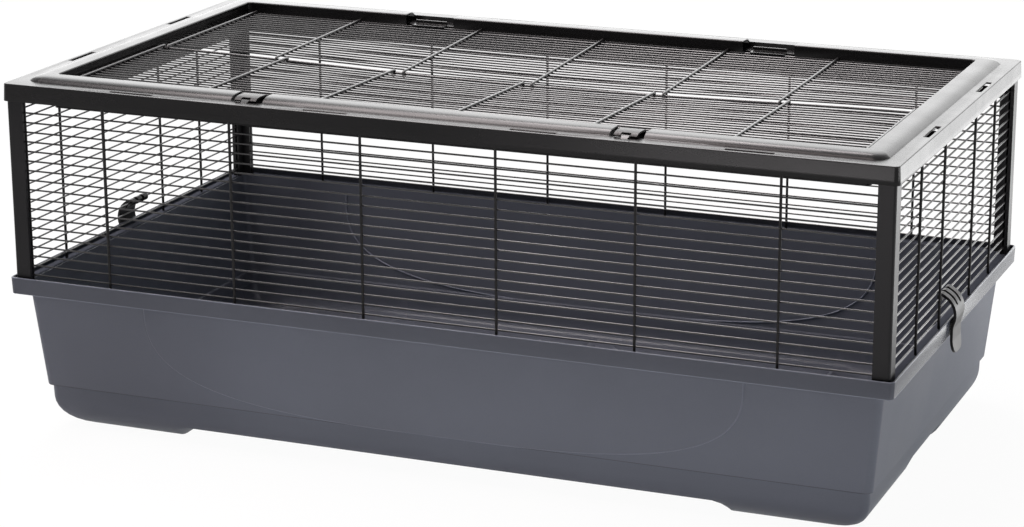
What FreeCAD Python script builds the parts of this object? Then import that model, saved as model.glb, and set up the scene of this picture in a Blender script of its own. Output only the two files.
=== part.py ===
"""Rodent cage: a moulded tub, a wire cage that lifts off it, and a hinged wire roof door.

Millimetres, +Z up, front at -Y, long axis along X, origin on the floor under the middle.
"""
import FreeCAD, Part
import math
import os
from FreeCAD import Vector

# Tub rim: a thin upstanding lip with a channel behind it and a skirt below it
RIM_LENGTH = 1000.0
RIM_WIDTH = 536.4
RIM_TOP = 178.5
RIM_SKIRT = 19.0
RIM_SKIRT_DRAW = 0.9
RIM_LIP = 2.4
RIM_CORNER = 6.0
CHANNEL_DEPTH = 6.0
FLANGE = 2.5

# Tub walls, step, rounded bottom and feet
WALL = 2.5
WALL_INSET = 13.2
WALL_DRAW = 9.0
END_WALL_DRAW = 12.0
STEP_HEIGHT = 50.5
STEP_IN = 3.7
FOOT_DRAW = 1.5
BOTTOM_RADIUS = 36.0
PLAN_CORNER = 9.0
ARCH_RISE = 14.0
ARCH_RAMP = 13.0
ARCH_LONG = 612.0
ARCH_SHORT = 112.0

# Raised boat-shaped field on the front and back walls
BOAT_LENGTH = 684.0
BOAT_DEPTH = 110.0
BOAT_POWER = 3.6
BOAT_PROUD = 0.8
BOAT_STATIONS = 10

# Top frame: fascia, ledge with slots, hollow bead, inner wall and roof lip
FRAME_REVEAL = 2.95
LEDGE_ABOVE_RIM = 216.5
FRAME_WALL = 2.0
FASCIA = 19.0
FASCIA_FLARE = 1.06
FRAME_CORNER = 5.0
LEDGE_EDGE_RADIUS = 1.6
LEDGE_WIDTH = 17.5
BEAD_WIDTH = 25.8
BEAD_RISE = 5.2
BEAD_SHOULDER = 3.6
BEAD_SHOULDER_IN = 4.2
BEAD_CROWN_DROP = 0.5
INNER_EDGE_RADIUS = 1.6
ROOF_LIP = 3.0
SLOT_LENGTH = 51.0
SLOT_WIDTH = 6.5
SLOT_INSET = 4.0
LONG_SLOTS = (116.0, 344.0)
SHORT_SLOTS = (111.0,)
FRONT_NOTCH = 37.0
BACK_NOTCH = 62.0
NOTCH_PLACE = 212.0
WEB_SETBACK = 5.0
TONGUE_WIDTH = 40.0
TONGUE_REACH = 10.0
TONGUE_THICK = 2.0

# Corner posts with a groove in each leg for the bar ends
POST_LEG = 18.5
POST_GAP = 0.5
POST_SKIN = 4.0
POST_INNER_SKIN = 2.0
POST_EDGE = 3.0
GROOVE_DEPTH = 9.0
GROOVE_PLAY = 0.1

# Wires
BAR_DIAMETER = 2.0
UPRIGHT_DIAMETER = 3.0
WELD_GAP = 0.05
BAR_PITCH = 10.7
FIRST_BAR = 2.4
TOP_BAR_GAP = 6.0
BAR_END_PLAY = 1.0
LONG_UPRIGHT_PITCH = 151.2
LONG_UPRIGHTS = 6
SHORT_UPRIGHTS = (-156.0, -60.5, 71.0, 161.0)

# Roof: two wire panels on one hinge wire; the eyes of one panel lie beside those of the other
ROOF_BELOW_BEAD = 9.2
ROOF_EDGE_PLAY = 2.2
ROOF_SIDE_PLAY = 1.3
DOOR_WIRES = (-290.5, -157.0, -1.0, 152.5, 305.0)
REAR_WIRES = (-302.5, -144.0, 10.5, 164.0, 295.5)
END_WIRE_PLAY = 2.2
END_WIRE_STAGGER = 6.0
HINGE_DIAMETER = 3.0
HINGE_PLAY = 0.1
HINGE_END = 3.0
HINGE_BAR_GAP = 6.0
EYE_TURN = 270.0

# Roof clips, which turn on the front bar of the door
CLIP_THICK = 2.2
CLIP_CURL_PLAY = 0.3
ROOF_CLIP_WIDTH = 26.0
ROOF_CLIP_CURL = 240.0
ROOF_CLIP_BEND = 3.5
ROOF_CLIP_CLIMB = 80.0
ROOF_CLIP_NOSE = 3.2
ROOF_CLIP_REACH = 5.0
ROOF_CLIP_CLEAR = 0.3
ROOF_CLIP_WINDOW = 10.0
ROOF_CLIP_LINTEL = 0.8

# Side clips, which turn on a low bar of each end panel and reach down over the rim
SIDE_CLIP_WIDTH = 36.0
SIDE_CLIP_THICK = 3.0
SIDE_CLIP_ABOVE_RIM = 20.0
SIDE_CLIP_CURL = 225.0
SIDE_CLIP_HOOK_END = 60.0
SIDE_CLIP_GAP = 0.6
SIDE_CLIP_BULGE_RADIUS = 23.0
SIDE_CLIP_RETURN = 22.0
SIDE_CLIP_WAIST_RADIUS = 20.0
TONGUE_BELOW_SKIRT = 2.5
TONGUE_FLARE_RADIUS = 25.0
TONGUE_FLARE = 10.0
TONGUE_TIP = 12.7
TONGUE_TIP_RADIUS = 12.0
FINGER_GAP = 4.5
FINGER_LENGTH = 9.0
RIGHT_CLIP_PLACE = -26.0
LEFT_CLIP_PLACE = -4.0

# Sizes that follow from those above
RIM_HX = RIM_LENGTH / 2
RIM_HY = RIM_WIDTH / 2
CHANNEL_FLOOR = RIM_TOP - CHANNEL_DEPTH
FRAME_HX = RIM_HX - FRAME_REVEAL
FRAME_HY = RIM_HY - FRAME_REVEAL
LEDGE_TOP = RIM_TOP + LEDGE_ABOVE_RIM
LEDGE_UNDER = LEDGE_TOP - FRAME_WALL
FASCIA_BOTTOM = LEDGE_TOP - FASCIA
BEAD_TOP = LEDGE_TOP + BEAD_RISE
WELL_INSET = LEDGE_WIDTH + BEAD_WIDTH
WELL_HX = FRAME_HX - WELL_INSET
WELL_HY = FRAME_HY - WELL_INSET
BAR_RADIUS = BAR_DIAMETER / 2
UPRIGHT_RADIUS = UPRIGHT_DIAMETER / 2
WELD_OFFSET = BAR_RADIUS + UPRIGHT_RADIUS + WELD_GAP
POST_INSET = FRAME_WALL + POST_GAP
BAR_INSET = POST_INSET + POST_SKIN + GROOVE_PLAY + BAR_RADIUS
UPRIGHT_INSET = BAR_INSET - WELD_OFFSET
POST_DEPTH = POST_SKIN + BAR_DIAMETER + 2 * GROOVE_PLAY + POST_INNER_SKIN
ROOF_WIRE_Z = BEAD_TOP - ROOF_BELOW_BEAD - UPRIGHT_RADIUS
ROOF_BAR_Z = ROOF_WIRE_Z - WELD_OFFSET
ROOF_LIP_TOP = ROOF_BAR_Z - BAR_RADIUS - WELD_GAP
ROOF_LIP_UNDER = ROOF_LIP_TOP - FRAME_WALL
ROOF_BAR_Y = WELL_HY - ROOF_EDGE_PLAY
EYE_RADIUS = HINGE_DIAMETER / 2 + HINGE_PLAY + UPRIGHT_RADIUS
HINGE_Z = ROOF_WIRE_Z - EYE_RADIUS
END_WIRE_X = WELL_HX - ROOF_LIP - END_WIRE_PLAY
SIDE_BAR_X = FRAME_HX - BAR_INSET
ROOF_CURL_RADIUS = BAR_RADIUS + CLIP_CURL_PLAY + CLIP_THICK / 2
SIDE_CURL_RADIUS = BAR_RADIUS + CLIP_CURL_PLAY + SIDE_CLIP_THICK / 2

# How near counts as touching, and how far a cut runs past what it cuts
TOLERANCE = 0.01
CUT_MARGIN = 1.0

X_AXIS = Vector(1, 0, 0)
Y_AXIS = Vector(0, 1, 0)
Z_AXIS = Vector(0, 0, 1)


def rounded_rectangle(half_x, half_y, corner, height):
    """Closed wire of a rectangle with arcs at its corners, lying level at a height."""
    diagonal = corner * (1 - math.sqrt(0.5))
    edges = []
    for turn in range(4):
        angle = 90 * turn
        a, b = (half_x, half_y) if turn % 2 == 0 else (half_y, half_x)
        points = [Vector(a, -b + corner, 0), Vector(a, b - corner, 0)]
        points.append(Vector(a - diagonal, b - diagonal, 0))
        points.append(Vector(a - corner, b, 0))
        spin = FreeCAD.Rotation(Z_AXIS, angle)
        start, end, middle, far = [spin.multVec(p) + Vector(0, 0, height) for p in points]
        edges.append(Part.makeLine(start, end))
        edges.append(Part.Arc(end, middle, far).toShape())
    return Part.Wire(edges)


def frustum(sections):
    """Solid between level rounded rectangles given as (half_x, half_y, corner, height)."""
    return Part.makeLoft([rounded_rectangle(*s) for s in sections], True, True)


def box_between(low, high):
    """Upright box from its low corner to its high corner."""
    size = Vector(*high) - Vector(*low)
    return Part.makeBox(size.x, size.y, size.z, Vector(*low))


def wire_rod(start, end, radius):
    """Straight round wire between two points."""
    run = Vector(*end) - Vector(*start)
    return Part.makeCylinder(radius, run.Length, Vector(*start), run)


def tub_form(inward):
    """Outer form of the tub, drawn in by a distance on every wall, the step and the floor."""
    step = STEP_HEIGHT + inward
    drop = (CHANNEL_FLOOR - step) / (CHANNEL_FLOOR - STEP_HEIGHT)
    half_x, half_y = RIM_HX - WALL_INSET - inward, RIM_HY - WALL_INSET - inward
    step_x, step_y = half_x - END_WALL_DRAW * drop, half_y - WALL_DRAW * drop
    low_x, low_y = half_x - END_WALL_DRAW - STEP_IN, half_y - WALL_DRAW - STEP_IN
    corner = PLAN_CORNER - inward
    upper = frustum([(step_x, step_y, corner, step), (half_x, half_y, corner, CHANNEL_FLOOR)])
    lower = frustum([(low_x - FOOT_DRAW, low_y - FOOT_DRAW, corner, inward), (low_x, low_y, corner, step)])
    for half, along in ((low_x, Y_AXIS), (low_y, X_AXIS)):
        lower = lower.common(rounded_trough(half, along, inward, step))
    return upper.fuse(lower)


def long_prism(outline, along):
    """Upright outline of (across, height) points, run along X or Y past both ends of the tub."""
    reach = RIM_LENGTH
    if along is Y_AXIS:
        points = [Vector(a, -reach, b) for a, b in outline]
    else:
        points = [Vector(-reach, a, b) for a, b in outline]
    return Part.Face(Part.makePolygon(points + points[:1])).extrude(along * (2 * reach))


def rounded_trough(half, along, floor, top):
    """Long prism with a flat floor, leaning walls and both of its lower edges rounded."""
    prism = long_prism([(-half, top), (-half + FOOT_DRAW, floor), (half - FOOT_DRAW, floor), (half, top)], along)
    low = [e for e in prism.Edges if e.Length > RIM_LENGTH and e.BoundBox.ZMax < floor + TOLERANCE]
    return prism.makeFillet(BOTTOM_RADIUS - floor, low)


def arch_ridge(grow):
    """Cross-shaped ridge that lifts the floor between the four corner feet, grown by a distance."""
    ridges = []
    ramp = ARCH_RAMP / ARCH_RISE
    top = ARCH_RISE + grow
    below = -ARCH_RISE
    spread = grow * math.tan(math.atan2(ARCH_RISE, ARCH_RAMP) / 2)
    for flat, along in ((ARCH_LONG, Y_AXIS), (ARCH_SHORT, X_AXIS)):
        half = flat / 2 + spread
        foot = half + ramp * (top - below)
        ridges.append(long_prism([(-foot, below), (-half, top), (half, top), (foot, below)], along))
    return ridges[0].fuse(ridges[1])


def boat_prism():
    """Prism through both long walls whose outline is the lower half of a superellipse."""
    top = RIM_TOP - RIM_SKIRT
    half = BOAT_LENGTH / 2
    stations = []
    for i in range(-BOAT_STATIONS, BOAT_STATIONS + 1):
        angle = 0.5 * math.pi * i / BOAT_STATIONS
        across = math.copysign(abs(math.sin(angle)) ** (2 / BOAT_POWER), i) * half
        down = abs(math.cos(angle)) ** (2 / BOAT_POWER) * BOAT_DEPTH
        stations.append(Vector(across, -RIM_WIDTH, top - down))
    stations[0].z = stations[-1].z = top
    curve = Part.BSplineCurve()
    curve.interpolate(stations)
    outline = Part.Wire([curve.toShape(), Part.makeLine(stations[-1], stations[0])])
    prism = Part.Face(outline).extrude(Y_AXIS * (2 * RIM_WIDTH))
    limit = box_between((-RIM_LENGTH, -RIM_WIDTH, STEP_HEIGHT), (RIM_LENGTH, RIM_WIDTH, RIM_TOP))
    return prism.common(limit)


def base_tub():
    """Tub with its rim, channel, step, raised boat fields, feet and even wall."""
    boat = boat_prism()
    outer = tub_form(0.0).fuse(tub_form(-BOAT_PROUD).common(boat))
    outer = outer.cut(arch_ridge(0.0))
    room = tub_form(WALL)
    room = room.fuse(tub_form(WALL - BOAT_PROUD).common(boat)).cut(arch_ridge(WALL))
    skirt_bottom = RIM_TOP - RIM_SKIRT

    def ring_section(inset, height):
        return (RIM_HX - inset, RIM_HY - inset, RIM_CORNER - min(inset, RIM_CORNER / 2), height)

    lip = frustum([ring_section(RIM_SKIRT_DRAW, skirt_bottom), ring_section(0, RIM_TOP)])
    inside = frustum([ring_section(RIM_SKIRT_DRAW + RIM_LIP, skirt_bottom), ring_section(RIM_LIP, RIM_TOP)])
    flange = inside.common(box_between((-RIM_LENGTH, -RIM_WIDTH, CHANNEL_FLOOR - FLANGE),
                                       (RIM_LENGTH, RIM_WIDTH, CHANNEL_FLOOR)))
    solid = outer.fuse([lip.cut(inside), flange]).cut(room)
    return solid.removeSplitter()


def frame_profile():
    """Closed outline of the top frame's moulding, as (inset from the outer face, height)."""
    crease = LEDGE_WIDTH
    crown = WELL_INSET - INNER_EDGE_RADIUS
    shell = FRAME_WALL

    def bead(drop):
        """Convex curve from the crease up over the bead, lowered by the shell."""
        points = [(crease + drop, LEDGE_TOP - drop),
                  (crease + BEAD_SHOULDER_IN, LEDGE_TOP + BEAD_SHOULDER - drop),
                  (crease + BEAD_WIDTH / 2, BEAD_TOP - BEAD_CROWN_DROP - drop),
                  (crown - drop / 2, BEAD_TOP - drop)]
        curve = Part.BSplineCurve()
        curve.interpolate([Vector(0, a, b) for a, b in points])
        return curve.toShape()

    outside = bead(0.0)
    underside = bead(shell)
    corner = WELL_INSET - INNER_EDGE_RADIUS * (1 - math.sqrt(0.5))
    rounding = Part.Arc(Vector(0, crown, BEAD_TOP),
                        Vector(0, corner, BEAD_TOP - INNER_EDGE_RADIUS * (1 - math.sqrt(0.5))),
                        Vector(0, WELL_INSET, BEAD_TOP - INNER_EDGE_RADIUS)).toShape()
    inner_wall = [(WELL_INSET, BEAD_TOP - INNER_EDGE_RADIUS),
                  (WELL_INSET, ROOF_LIP_TOP),
                  (WELL_INSET + ROOF_LIP, ROOF_LIP_TOP),
                  (WELL_INSET + ROOF_LIP, ROOF_LIP_UNDER),
                  (WELL_INSET - shell, ROOF_LIP_UNDER),
                  (crown - shell / 2, BEAD_TOP - shell)]
    ledge = [(crease + shell, LEDGE_UNDER), (shell, LEDGE_UNDER),
             (shell - FASCIA_FLARE, FASCIA_BOTTOM), (-FASCIA_FLARE, FASCIA_BOTTOM),
             (0, LEDGE_TOP), (crease, LEDGE_TOP)]
    edges = [outside, rounding]
    for run in (inner_wall, ledge):
        points = [Vector(0, a, b) for a, b in run]
        edges += [Part.makeLine(p, q) for p, q in zip(points, points[1:])]
    edges.append(underside)
    return Part.Face(Part.Wire(Part.__sortEdges__(edges)))


def mitred_side(half_along, half_across, turn):
    """One side of the top frame: the moulding run along it and mitred at both ends."""
    reach = half_along + RIM_CORNER
    run = frame_profile()
    run.translate(Vector(-reach, -half_across, 0))
    run = run.extrude(X_AXIS * (2 * reach))
    deep = WELL_INSET + 2 * ROOF_LIP
    flare = 2 * FASCIA_FLARE
    plan = [(-half_along - flare, -half_across - flare), (half_along + flare, -half_across - flare),
            (half_along - deep, -half_across + deep), (-half_along + deep, -half_across + deep)]
    points = [Vector(a, b, 0) for a, b in plan]
    wedge = Part.Face(Part.makePolygon(points + points[:1])).extrude(Z_AXIS * (2 * BEAD_TOP))
    side = run.common(wedge)
    side.rotate(Vector(), Z_AXIS, turn)
    return side


def notch(half_width, side, with_tongue):
    """Cut, web and tongue of one bead notch, as a (cut, added solids) pair for one long side."""
    crease = FRAME_HY - LEDGE_WIDTH
    web_end = WELL_HY + WEB_SETBACK
    inner = WELL_HY - ROOF_LIP

    def slab(x0, x1, y0, y1, z0, z1):
        low_y, high_y = sorted((side * y0, side * y1))
        return box_between((x0, low_y, z0), (x1, high_y, z1))

    past = inner - CUT_MARGIN
    clear = slab(-half_width, half_width, past, crease, LEDGE_TOP, 2 * BEAD_TOP)
    clear = clear.fuse(slab(-half_width, half_width, past, web_end, ROOF_LIP_UNDER - CUT_MARGIN, BEAD_TOP))
    added = [slab(-half_width, half_width, web_end, crease + FRAME_WALL, LEDGE_UNDER, LEDGE_TOP)]
    if with_tongue:
        half = TONGUE_WIDTH / 2
        seat = ROOF_BAR_Z + BAR_RADIUS + WELD_GAP
        root = web_end + TONGUE_THICK
        tip = ROOF_BAR_Y - TONGUE_REACH / 2
        added.append(slab(-half, half, tip, root, seat, seat + TONGUE_THICK))
        added.append(slab(-half, half, web_end, root, seat, LEDGE_TOP))
    return clear, added


def top_frame():
    """Mitred frame moulding with ledge slots, bead notches, clip webs and rear tongues."""
    sides = [mitred_side(FRAME_HX, FRAME_HY, 0), mitred_side(FRAME_HX, FRAME_HY, 180)]
    sides += [mitred_side(FRAME_HY, FRAME_HX, 90), mitred_side(FRAME_HY, FRAME_HX, 270)]
    frame = sides[0].fuse(sides[1:]).removeSplitter()
    outer_edges = []
    for edge in frame.Edges:
        box = edge.BoundBox
        tall = box.ZLength > FASCIA - FRAME_WALL
        outside = min(abs(box.XMin), abs(box.XMax)) > FRAME_HX - TOLERANCE
        if tall and outside and min(abs(box.YMin), abs(box.YMax)) > FRAME_HY - TOLERANCE:
            outer_edges.append(edge)
    frame = frame.makeFillet(FRAME_CORNER, outer_edges)
    top_edges = []
    for edge in frame.Edges:
        box = edge.BoundBox
        level = box.ZLength < TOLERANCE and abs(box.ZMax - LEDGE_TOP) < TOLERANCE
        far_x = max(abs(box.XMin), abs(box.XMax)) > FRAME_HX - FRAME_CORNER - TOLERANCE
        far_y = max(abs(box.YMin), abs(box.YMax)) > FRAME_HY - FRAME_CORNER - TOLERANCE
        if level and (far_x or far_y):
            top_edges.append(edge)
    frame = frame.makeFillet(LEDGE_EDGE_RADIUS, top_edges)
    cuts = []
    added = []
    half = SLOT_LENGTH / 2
    for sign in (-1, 1):
        for place in [s * p for s in (-1, 1) for p in LONG_SLOTS]:
            across = sorted((sign * (FRAME_HY - SLOT_INSET), sign * (FRAME_HY - SLOT_INSET - SLOT_WIDTH)))
            cuts.append(box_between((place - half, across[0], LEDGE_UNDER - CUT_MARGIN),
                                    (place + half, across[1], LEDGE_TOP + CUT_MARGIN)))
        for place in [s * p for s in (-1, 1) for p in SHORT_SLOTS]:
            across = sorted((sign * (FRAME_HX - SLOT_INSET), sign * (FRAME_HX - SLOT_INSET - SLOT_WIDTH)))
            cuts.append(box_between((across[0], place - half, LEDGE_UNDER - CUT_MARGIN),
                                    (across[1], place + half, LEDGE_TOP + CUT_MARGIN)))
    for side, width, with_tongue in ((-1, FRONT_NOTCH, False), (1, BACK_NOTCH, True)):
        for place in (-NOTCH_PLACE, NOTCH_PLACE):
            clear, extra = notch(width / 2, side, with_tongue)
            for shape in [clear] + extra:
                shape.translate(Vector(place, 0, 0))
            cuts.append(clear)
            added += extra
    return frame.cut(cuts).fuse(added).removeSplitter()


def corner_post(sign_x, sign_y):
    """L-shaped post with a rounded outer edge and a groove in each leg for the bar ends."""
    skin = POST_SKIN
    groove = BAR_DIAMETER + 2 * GROOVE_PLAY
    height = LEDGE_UNDER - CHANNEL_FLOOR
    leg, deep = POST_LEG, POST_DEPTH
    plan = [(0, 0), (leg, 0), (leg, deep), (deep, deep), (deep, leg), (0, leg)]
    points = [Vector(a, b, 0) for a, b in plan]
    post = Part.Face(Part.makePolygon(points + points[:1])).extrude(Z_AXIS * height)
    outer = [e for e in post.Edges if e.BoundBox.ZLength > TOLERANCE
             and e.BoundBox.XMax + e.BoundBox.YMax < TOLERANCE]
    post = post.makeFillet(POST_EDGE, outer)
    first = leg - GROOVE_DEPTH
    past, above = leg + CUT_MARGIN, height + CUT_MARGIN
    post = post.cut([box_between((first, skin, -CUT_MARGIN), (past, skin + groove, above)),
                     box_between((skin, first, -CUT_MARGIN), (skin + groove, past, above))])
    if sign_x > 0:
        post = post.mirror(Vector(), X_AXIS)
    if sign_y > 0:
        post = post.mirror(Vector(), Y_AXIS)
    post.translate(Vector(sign_x * (FRAME_HX - POST_INSET), sign_y * (FRAME_HY - POST_INSET), CHANNEL_FLOOR))
    return post


def bar_heights():
    """Heights of the lengthwise bars, from just over the rim up to a gap under the fascia."""
    count = int((LEDGE_ABOVE_RIM - FASCIA - TOP_BAR_GAP - FIRST_BAR) / BAR_PITCH) + 1
    return [RIM_TOP + FIRST_BAR + BAR_PITCH * i for i in range(count)]


def bar_reach(half):
    """Half length of a bar whose ends stand in the grooves of two posts."""
    return half - POST_INSET - POST_LEG + GROOVE_DEPTH - BAR_END_PLAY


def long_panel(side):
    """Bars and uprights of the front (-1) or back (1) panel; the uprights are outermost."""
    reach = bar_reach(FRAME_HX)
    bar_y = side * (FRAME_HY - BAR_INSET)
    upright_y = side * (FRAME_HY - UPRIGHT_INSET)
    bars = [wire_rod((-reach, bar_y, z), (reach, bar_y, z), BAR_RADIUS) for z in bar_heights()]
    places = [LONG_UPRIGHT_PITCH * (i - (LONG_UPRIGHTS - 1) / 2) for i in range(LONG_UPRIGHTS)]
    uprights = [wire_rod((x, upright_y, CHANNEL_FLOOR), (x, upright_y, LEDGE_UNDER), UPRIGHT_RADIUS)
                for x in places]
    return bars, uprights


def short_panel(side):
    """Bars and uprights of the left (-1) or right (1) panel, the same part turned half round."""
    reach = bar_reach(FRAME_HY)
    bar_x = side * SIDE_BAR_X
    upright_x = side * (FRAME_HX - UPRIGHT_INSET)
    bars = [wire_rod((bar_x, -reach, z), (bar_x, reach, z), BAR_RADIUS) for z in bar_heights()]
    uprights = [wire_rod((upright_x, side * y, CHANNEL_FLOOR), (upright_x, side * y, LEDGE_UNDER),
                         UPRIGHT_RADIUS) for y in SHORT_UPRIGHTS]
    return bars, uprights


def cross_wire(x):
    """Cross wire of the front roof panel, curled at its rear end into an eye round the hinge."""
    straight = wire_rod((x, -ROOF_BAR_Y - BAR_RADIUS, ROOF_WIRE_Z), (x, 0, ROOF_WIRE_Z), UPRIGHT_RADIUS)
    section = Part.Face(Part.Wire(Part.makeCircle(UPRIGHT_RADIUS, Vector(x, 0, ROOF_WIRE_Z), Y_AXIS)))
    eye = section.revolve(Vector(x, 0, HINGE_Z), -X_AXIS, EYE_TURN)
    return straight.fuse(eye)


def roof_panel(places):
    """Bars and cross wires of the front roof panel, with its inner cross wires at given places."""
    reach = WELL_HX - ROOF_SIDE_PLAY
    first = EYE_RADIUS + UPRIGHT_RADIUS + HINGE_BAR_GAP + BAR_RADIUS
    count = int((ROOF_BAR_Y - first) / BAR_PITCH) + 1
    rows = [-(ROOF_BAR_Y - BAR_PITCH * i) for i in range(count)]
    bars = [wire_rod((-reach, y, ROOF_BAR_Z), (reach, y, ROOF_BAR_Z), BAR_RADIUS) for y in rows]
    ends = (-END_WIRE_X, END_WIRE_X - END_WIRE_STAGGER)
    return bars, [cross_wire(x) for x in (*places, *ends)]


def hinge_wire():
    """Straight wire along the middle of the roof, inside the eyes of both panels."""
    reach = WELL_HX - ROOF_LIP - HINGE_END + UPRIGHT_RADIUS
    return wire_rod((-reach, 0, HINGE_Z), (reach, 0, HINGE_Z), HINGE_DIAMETER / 2)


def bent_strip(start, heading, moves, thickness, plane):
    """Closed face of a strip bent along lines and arcs.

    A move is ("line", length) or ("arc", radius, degrees), where positive degrees turn left.
    The plane function takes a flat point (a, b) to space.
    """
    half = thickness / 2
    left, right = [], []
    a, b = start
    angle = math.radians(heading)

    def offset(a, b, angle, distance):
        return plane(a - math.sin(angle) * distance, b + math.cos(angle) * distance)

    first = (a, b, angle)
    for move in moves:
        begin = (a, b, angle)
        if move[0] == "line":
            a += math.cos(angle) * move[1]
            b += math.sin(angle) * move[1]
            for side, edges in ((half, left), (-half, right)):
                edges.append(Part.makeLine(offset(*begin, side), offset(a, b, angle, side)))
            continue
        radius, turn = move[1], math.radians(move[2])
        sign = math.copysign(1, turn)
        centre = (a - math.sin(angle) * radius * sign, b + math.cos(angle) * radius * sign)

        def swing(part):
            along = begin[2] + part * turn
            return (centre[0] + math.sin(along) * radius * sign,
                    centre[1] - math.cos(along) * radius * sign, along)

        middle, end = swing(0.5), swing(1.0)
        for side, edges in ((half, left), (-half, right)):
            arc = Part.Arc(offset(*begin, side), offset(*middle, side), offset(*end, side))
            edges.append(arc.toShape())
        a, b, angle = end
    caps = [Part.makeLine(offset(*first, half), offset(*first, -half)),
            Part.makeLine(offset(a, b, angle, half), offset(a, b, angle, -half))]
    return Part.Face(Part.Wire(Part.__sortEdges__(left + right + caps)))


def curl_start(radius, end_angle, turn):
    """Start point and heading of a clockwise curl round a bar that ends at an angle."""
    angle = math.radians(end_angle + turn)
    return (radius * math.cos(angle), radius * math.sin(angle)), end_angle + turn - 90


def roof_clip(place):
    """Clip that curls round the door's front bar, climbs through the notch and stands on two feet."""
    start, heading = curl_start(ROOF_CURL_RADIUS, 90, ROOF_CLIP_CURL)
    bend, climb = ROOF_CLIP_BEND, math.radians(ROOF_CLIP_CLIMB)
    plate = BEAD_TOP - ROOF_BAR_Z - CLIP_THICK / 2
    rise = (plate - ROOF_CURL_RADIUS - 2 * bend * (1 - math.cos(climb))) / math.sin(climb)
    climbed = bend * 2 * math.sin(climb) + rise * math.cos(climb)
    nose = FRAME_HY - LEDGE_WIDTH + ROOF_CLIP_REACH - CLIP_THICK / 2 - ROOF_BAR_Y
    drop = plate - ROOF_CLIP_NOSE - (LEDGE_TOP - ROOF_BAR_Z) - ROOF_CLIP_CLEAR
    moves = [("arc", ROOF_CURL_RADIUS, -ROOF_CLIP_CURL), ("arc", bend, ROOF_CLIP_CLIMB), ("line", rise),
             ("arc", bend, -ROOF_CLIP_CLIMB), ("line", nose - ROOF_CLIP_NOSE - climbed),
             ("arc", ROOF_CLIP_NOSE, -90)]
    if drop > 0:
        moves.append(("line", drop))
    left = place - ROOF_CLIP_WIDTH / 2

    def plane(a, b):
        return Vector(left, -ROOF_BAR_Y - a, ROOF_BAR_Z + b)

    clip = bent_strip(start, heading, moves, CLIP_THICK, plane).extrude(X_AXIS * ROOF_CLIP_WIDTH)
    half = ROOF_CLIP_WINDOW / 2
    front = -ROOF_BAR_Y - nose
    window = box_between((place - half, front - ROOF_CLIP_NOSE, LEDGE_TOP - CUT_MARGIN),
                         (place + half, front + ROOF_CLIP_NOSE, BEAD_TOP - CLIP_THICK - ROOF_CLIP_LINTEL))
    return clip.cut(window)


def side_clip(place):
    """Right-hand clip: three curled fingers on a bar, a bulge over the lip and a tongue below."""
    pivot_z = min(z for z in bar_heights() if z >= RIM_TOP + SIDE_CLIP_ABOVE_RIM)
    start, heading = curl_start(SIDE_CURL_RADIUS, SIDE_CLIP_HOOK_END, SIDE_CLIP_CURL)
    hook, back = math.radians(SIDE_CLIP_HOOK_END), math.radians(SIDE_CLIP_RETURN)
    bulge, waist = SIDE_CLIP_BULGE_RADIUS, SIDE_CLIP_WAIST_RADIUS
    face = RIM_HX - SIDE_BAR_X + SIDE_CLIP_GAP + SIDE_CLIP_THICK / 2
    crest = face + (bulge + waist) * (1 - math.cos(back))
    slant = (crest - SIDE_CURL_RADIUS * math.cos(hook) - bulge * (1 - math.cos(hook))) / math.sin(hook)
    down = slant * math.cos(hook) + bulge * math.sin(hook) - SIDE_CURL_RADIUS * math.sin(hook)
    down += (bulge + waist) * math.sin(back)
    straight = pivot_z - (RIM_TOP - RIM_SKIRT) + TONGUE_BELOW_SKIRT - down
    moves = [("arc", SIDE_CURL_RADIUS, -SIDE_CLIP_CURL), ("line", slant),
             ("arc", bulge, -(SIDE_CLIP_HOOK_END + SIDE_CLIP_RETURN)), ("arc", waist, SIDE_CLIP_RETURN),
             ("line", straight), ("arc", TONGUE_FLARE_RADIUS, TONGUE_FLARE), ("line", TONGUE_TIP)]
    first = place - SIDE_CLIP_WIDTH / 2

    def plane(a, b):
        return Vector(SIDE_BAR_X + a, first, pivot_z + b)

    clip = bent_strip(start, heading, moves, SIDE_CLIP_THICK, plane).extrude(Y_AXIS * SIDE_CLIP_WIDTH)
    finger = (SIDE_CLIP_WIDTH - 2 * FINGER_GAP) / 3
    gaps = []
    for i in (1, 2):
        low = first + i * finger + (i - 1) * FINGER_GAP
        gaps.append(box_between((0, low, pivot_z - FINGER_LENGTH), (RIM_LENGTH, low + FINGER_GAP, RIM_LENGTH)))
    clip = clip.cut(gaps)
    lowest = min(v.Z for v in clip.Vertexes)
    bottom = [e for e in clip.Edges if e.BoundBox.YLength < TOLERANCE
              and e.BoundBox.ZMin < lowest + SIDE_CLIP_THICK and abs(e.Length - SIDE_CLIP_THICK) < TOLERANCE]
    return clip.makeFillet(TONGUE_TIP_RADIUS, bottom)


def turned(shapes):
    """The same shapes turned half round about the upright axis."""
    copies = [shape.copy() for shape in shapes]
    for shape in copies:
        shape.rotate(Vector(), Z_AXIS, 180)
    return copies


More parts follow.
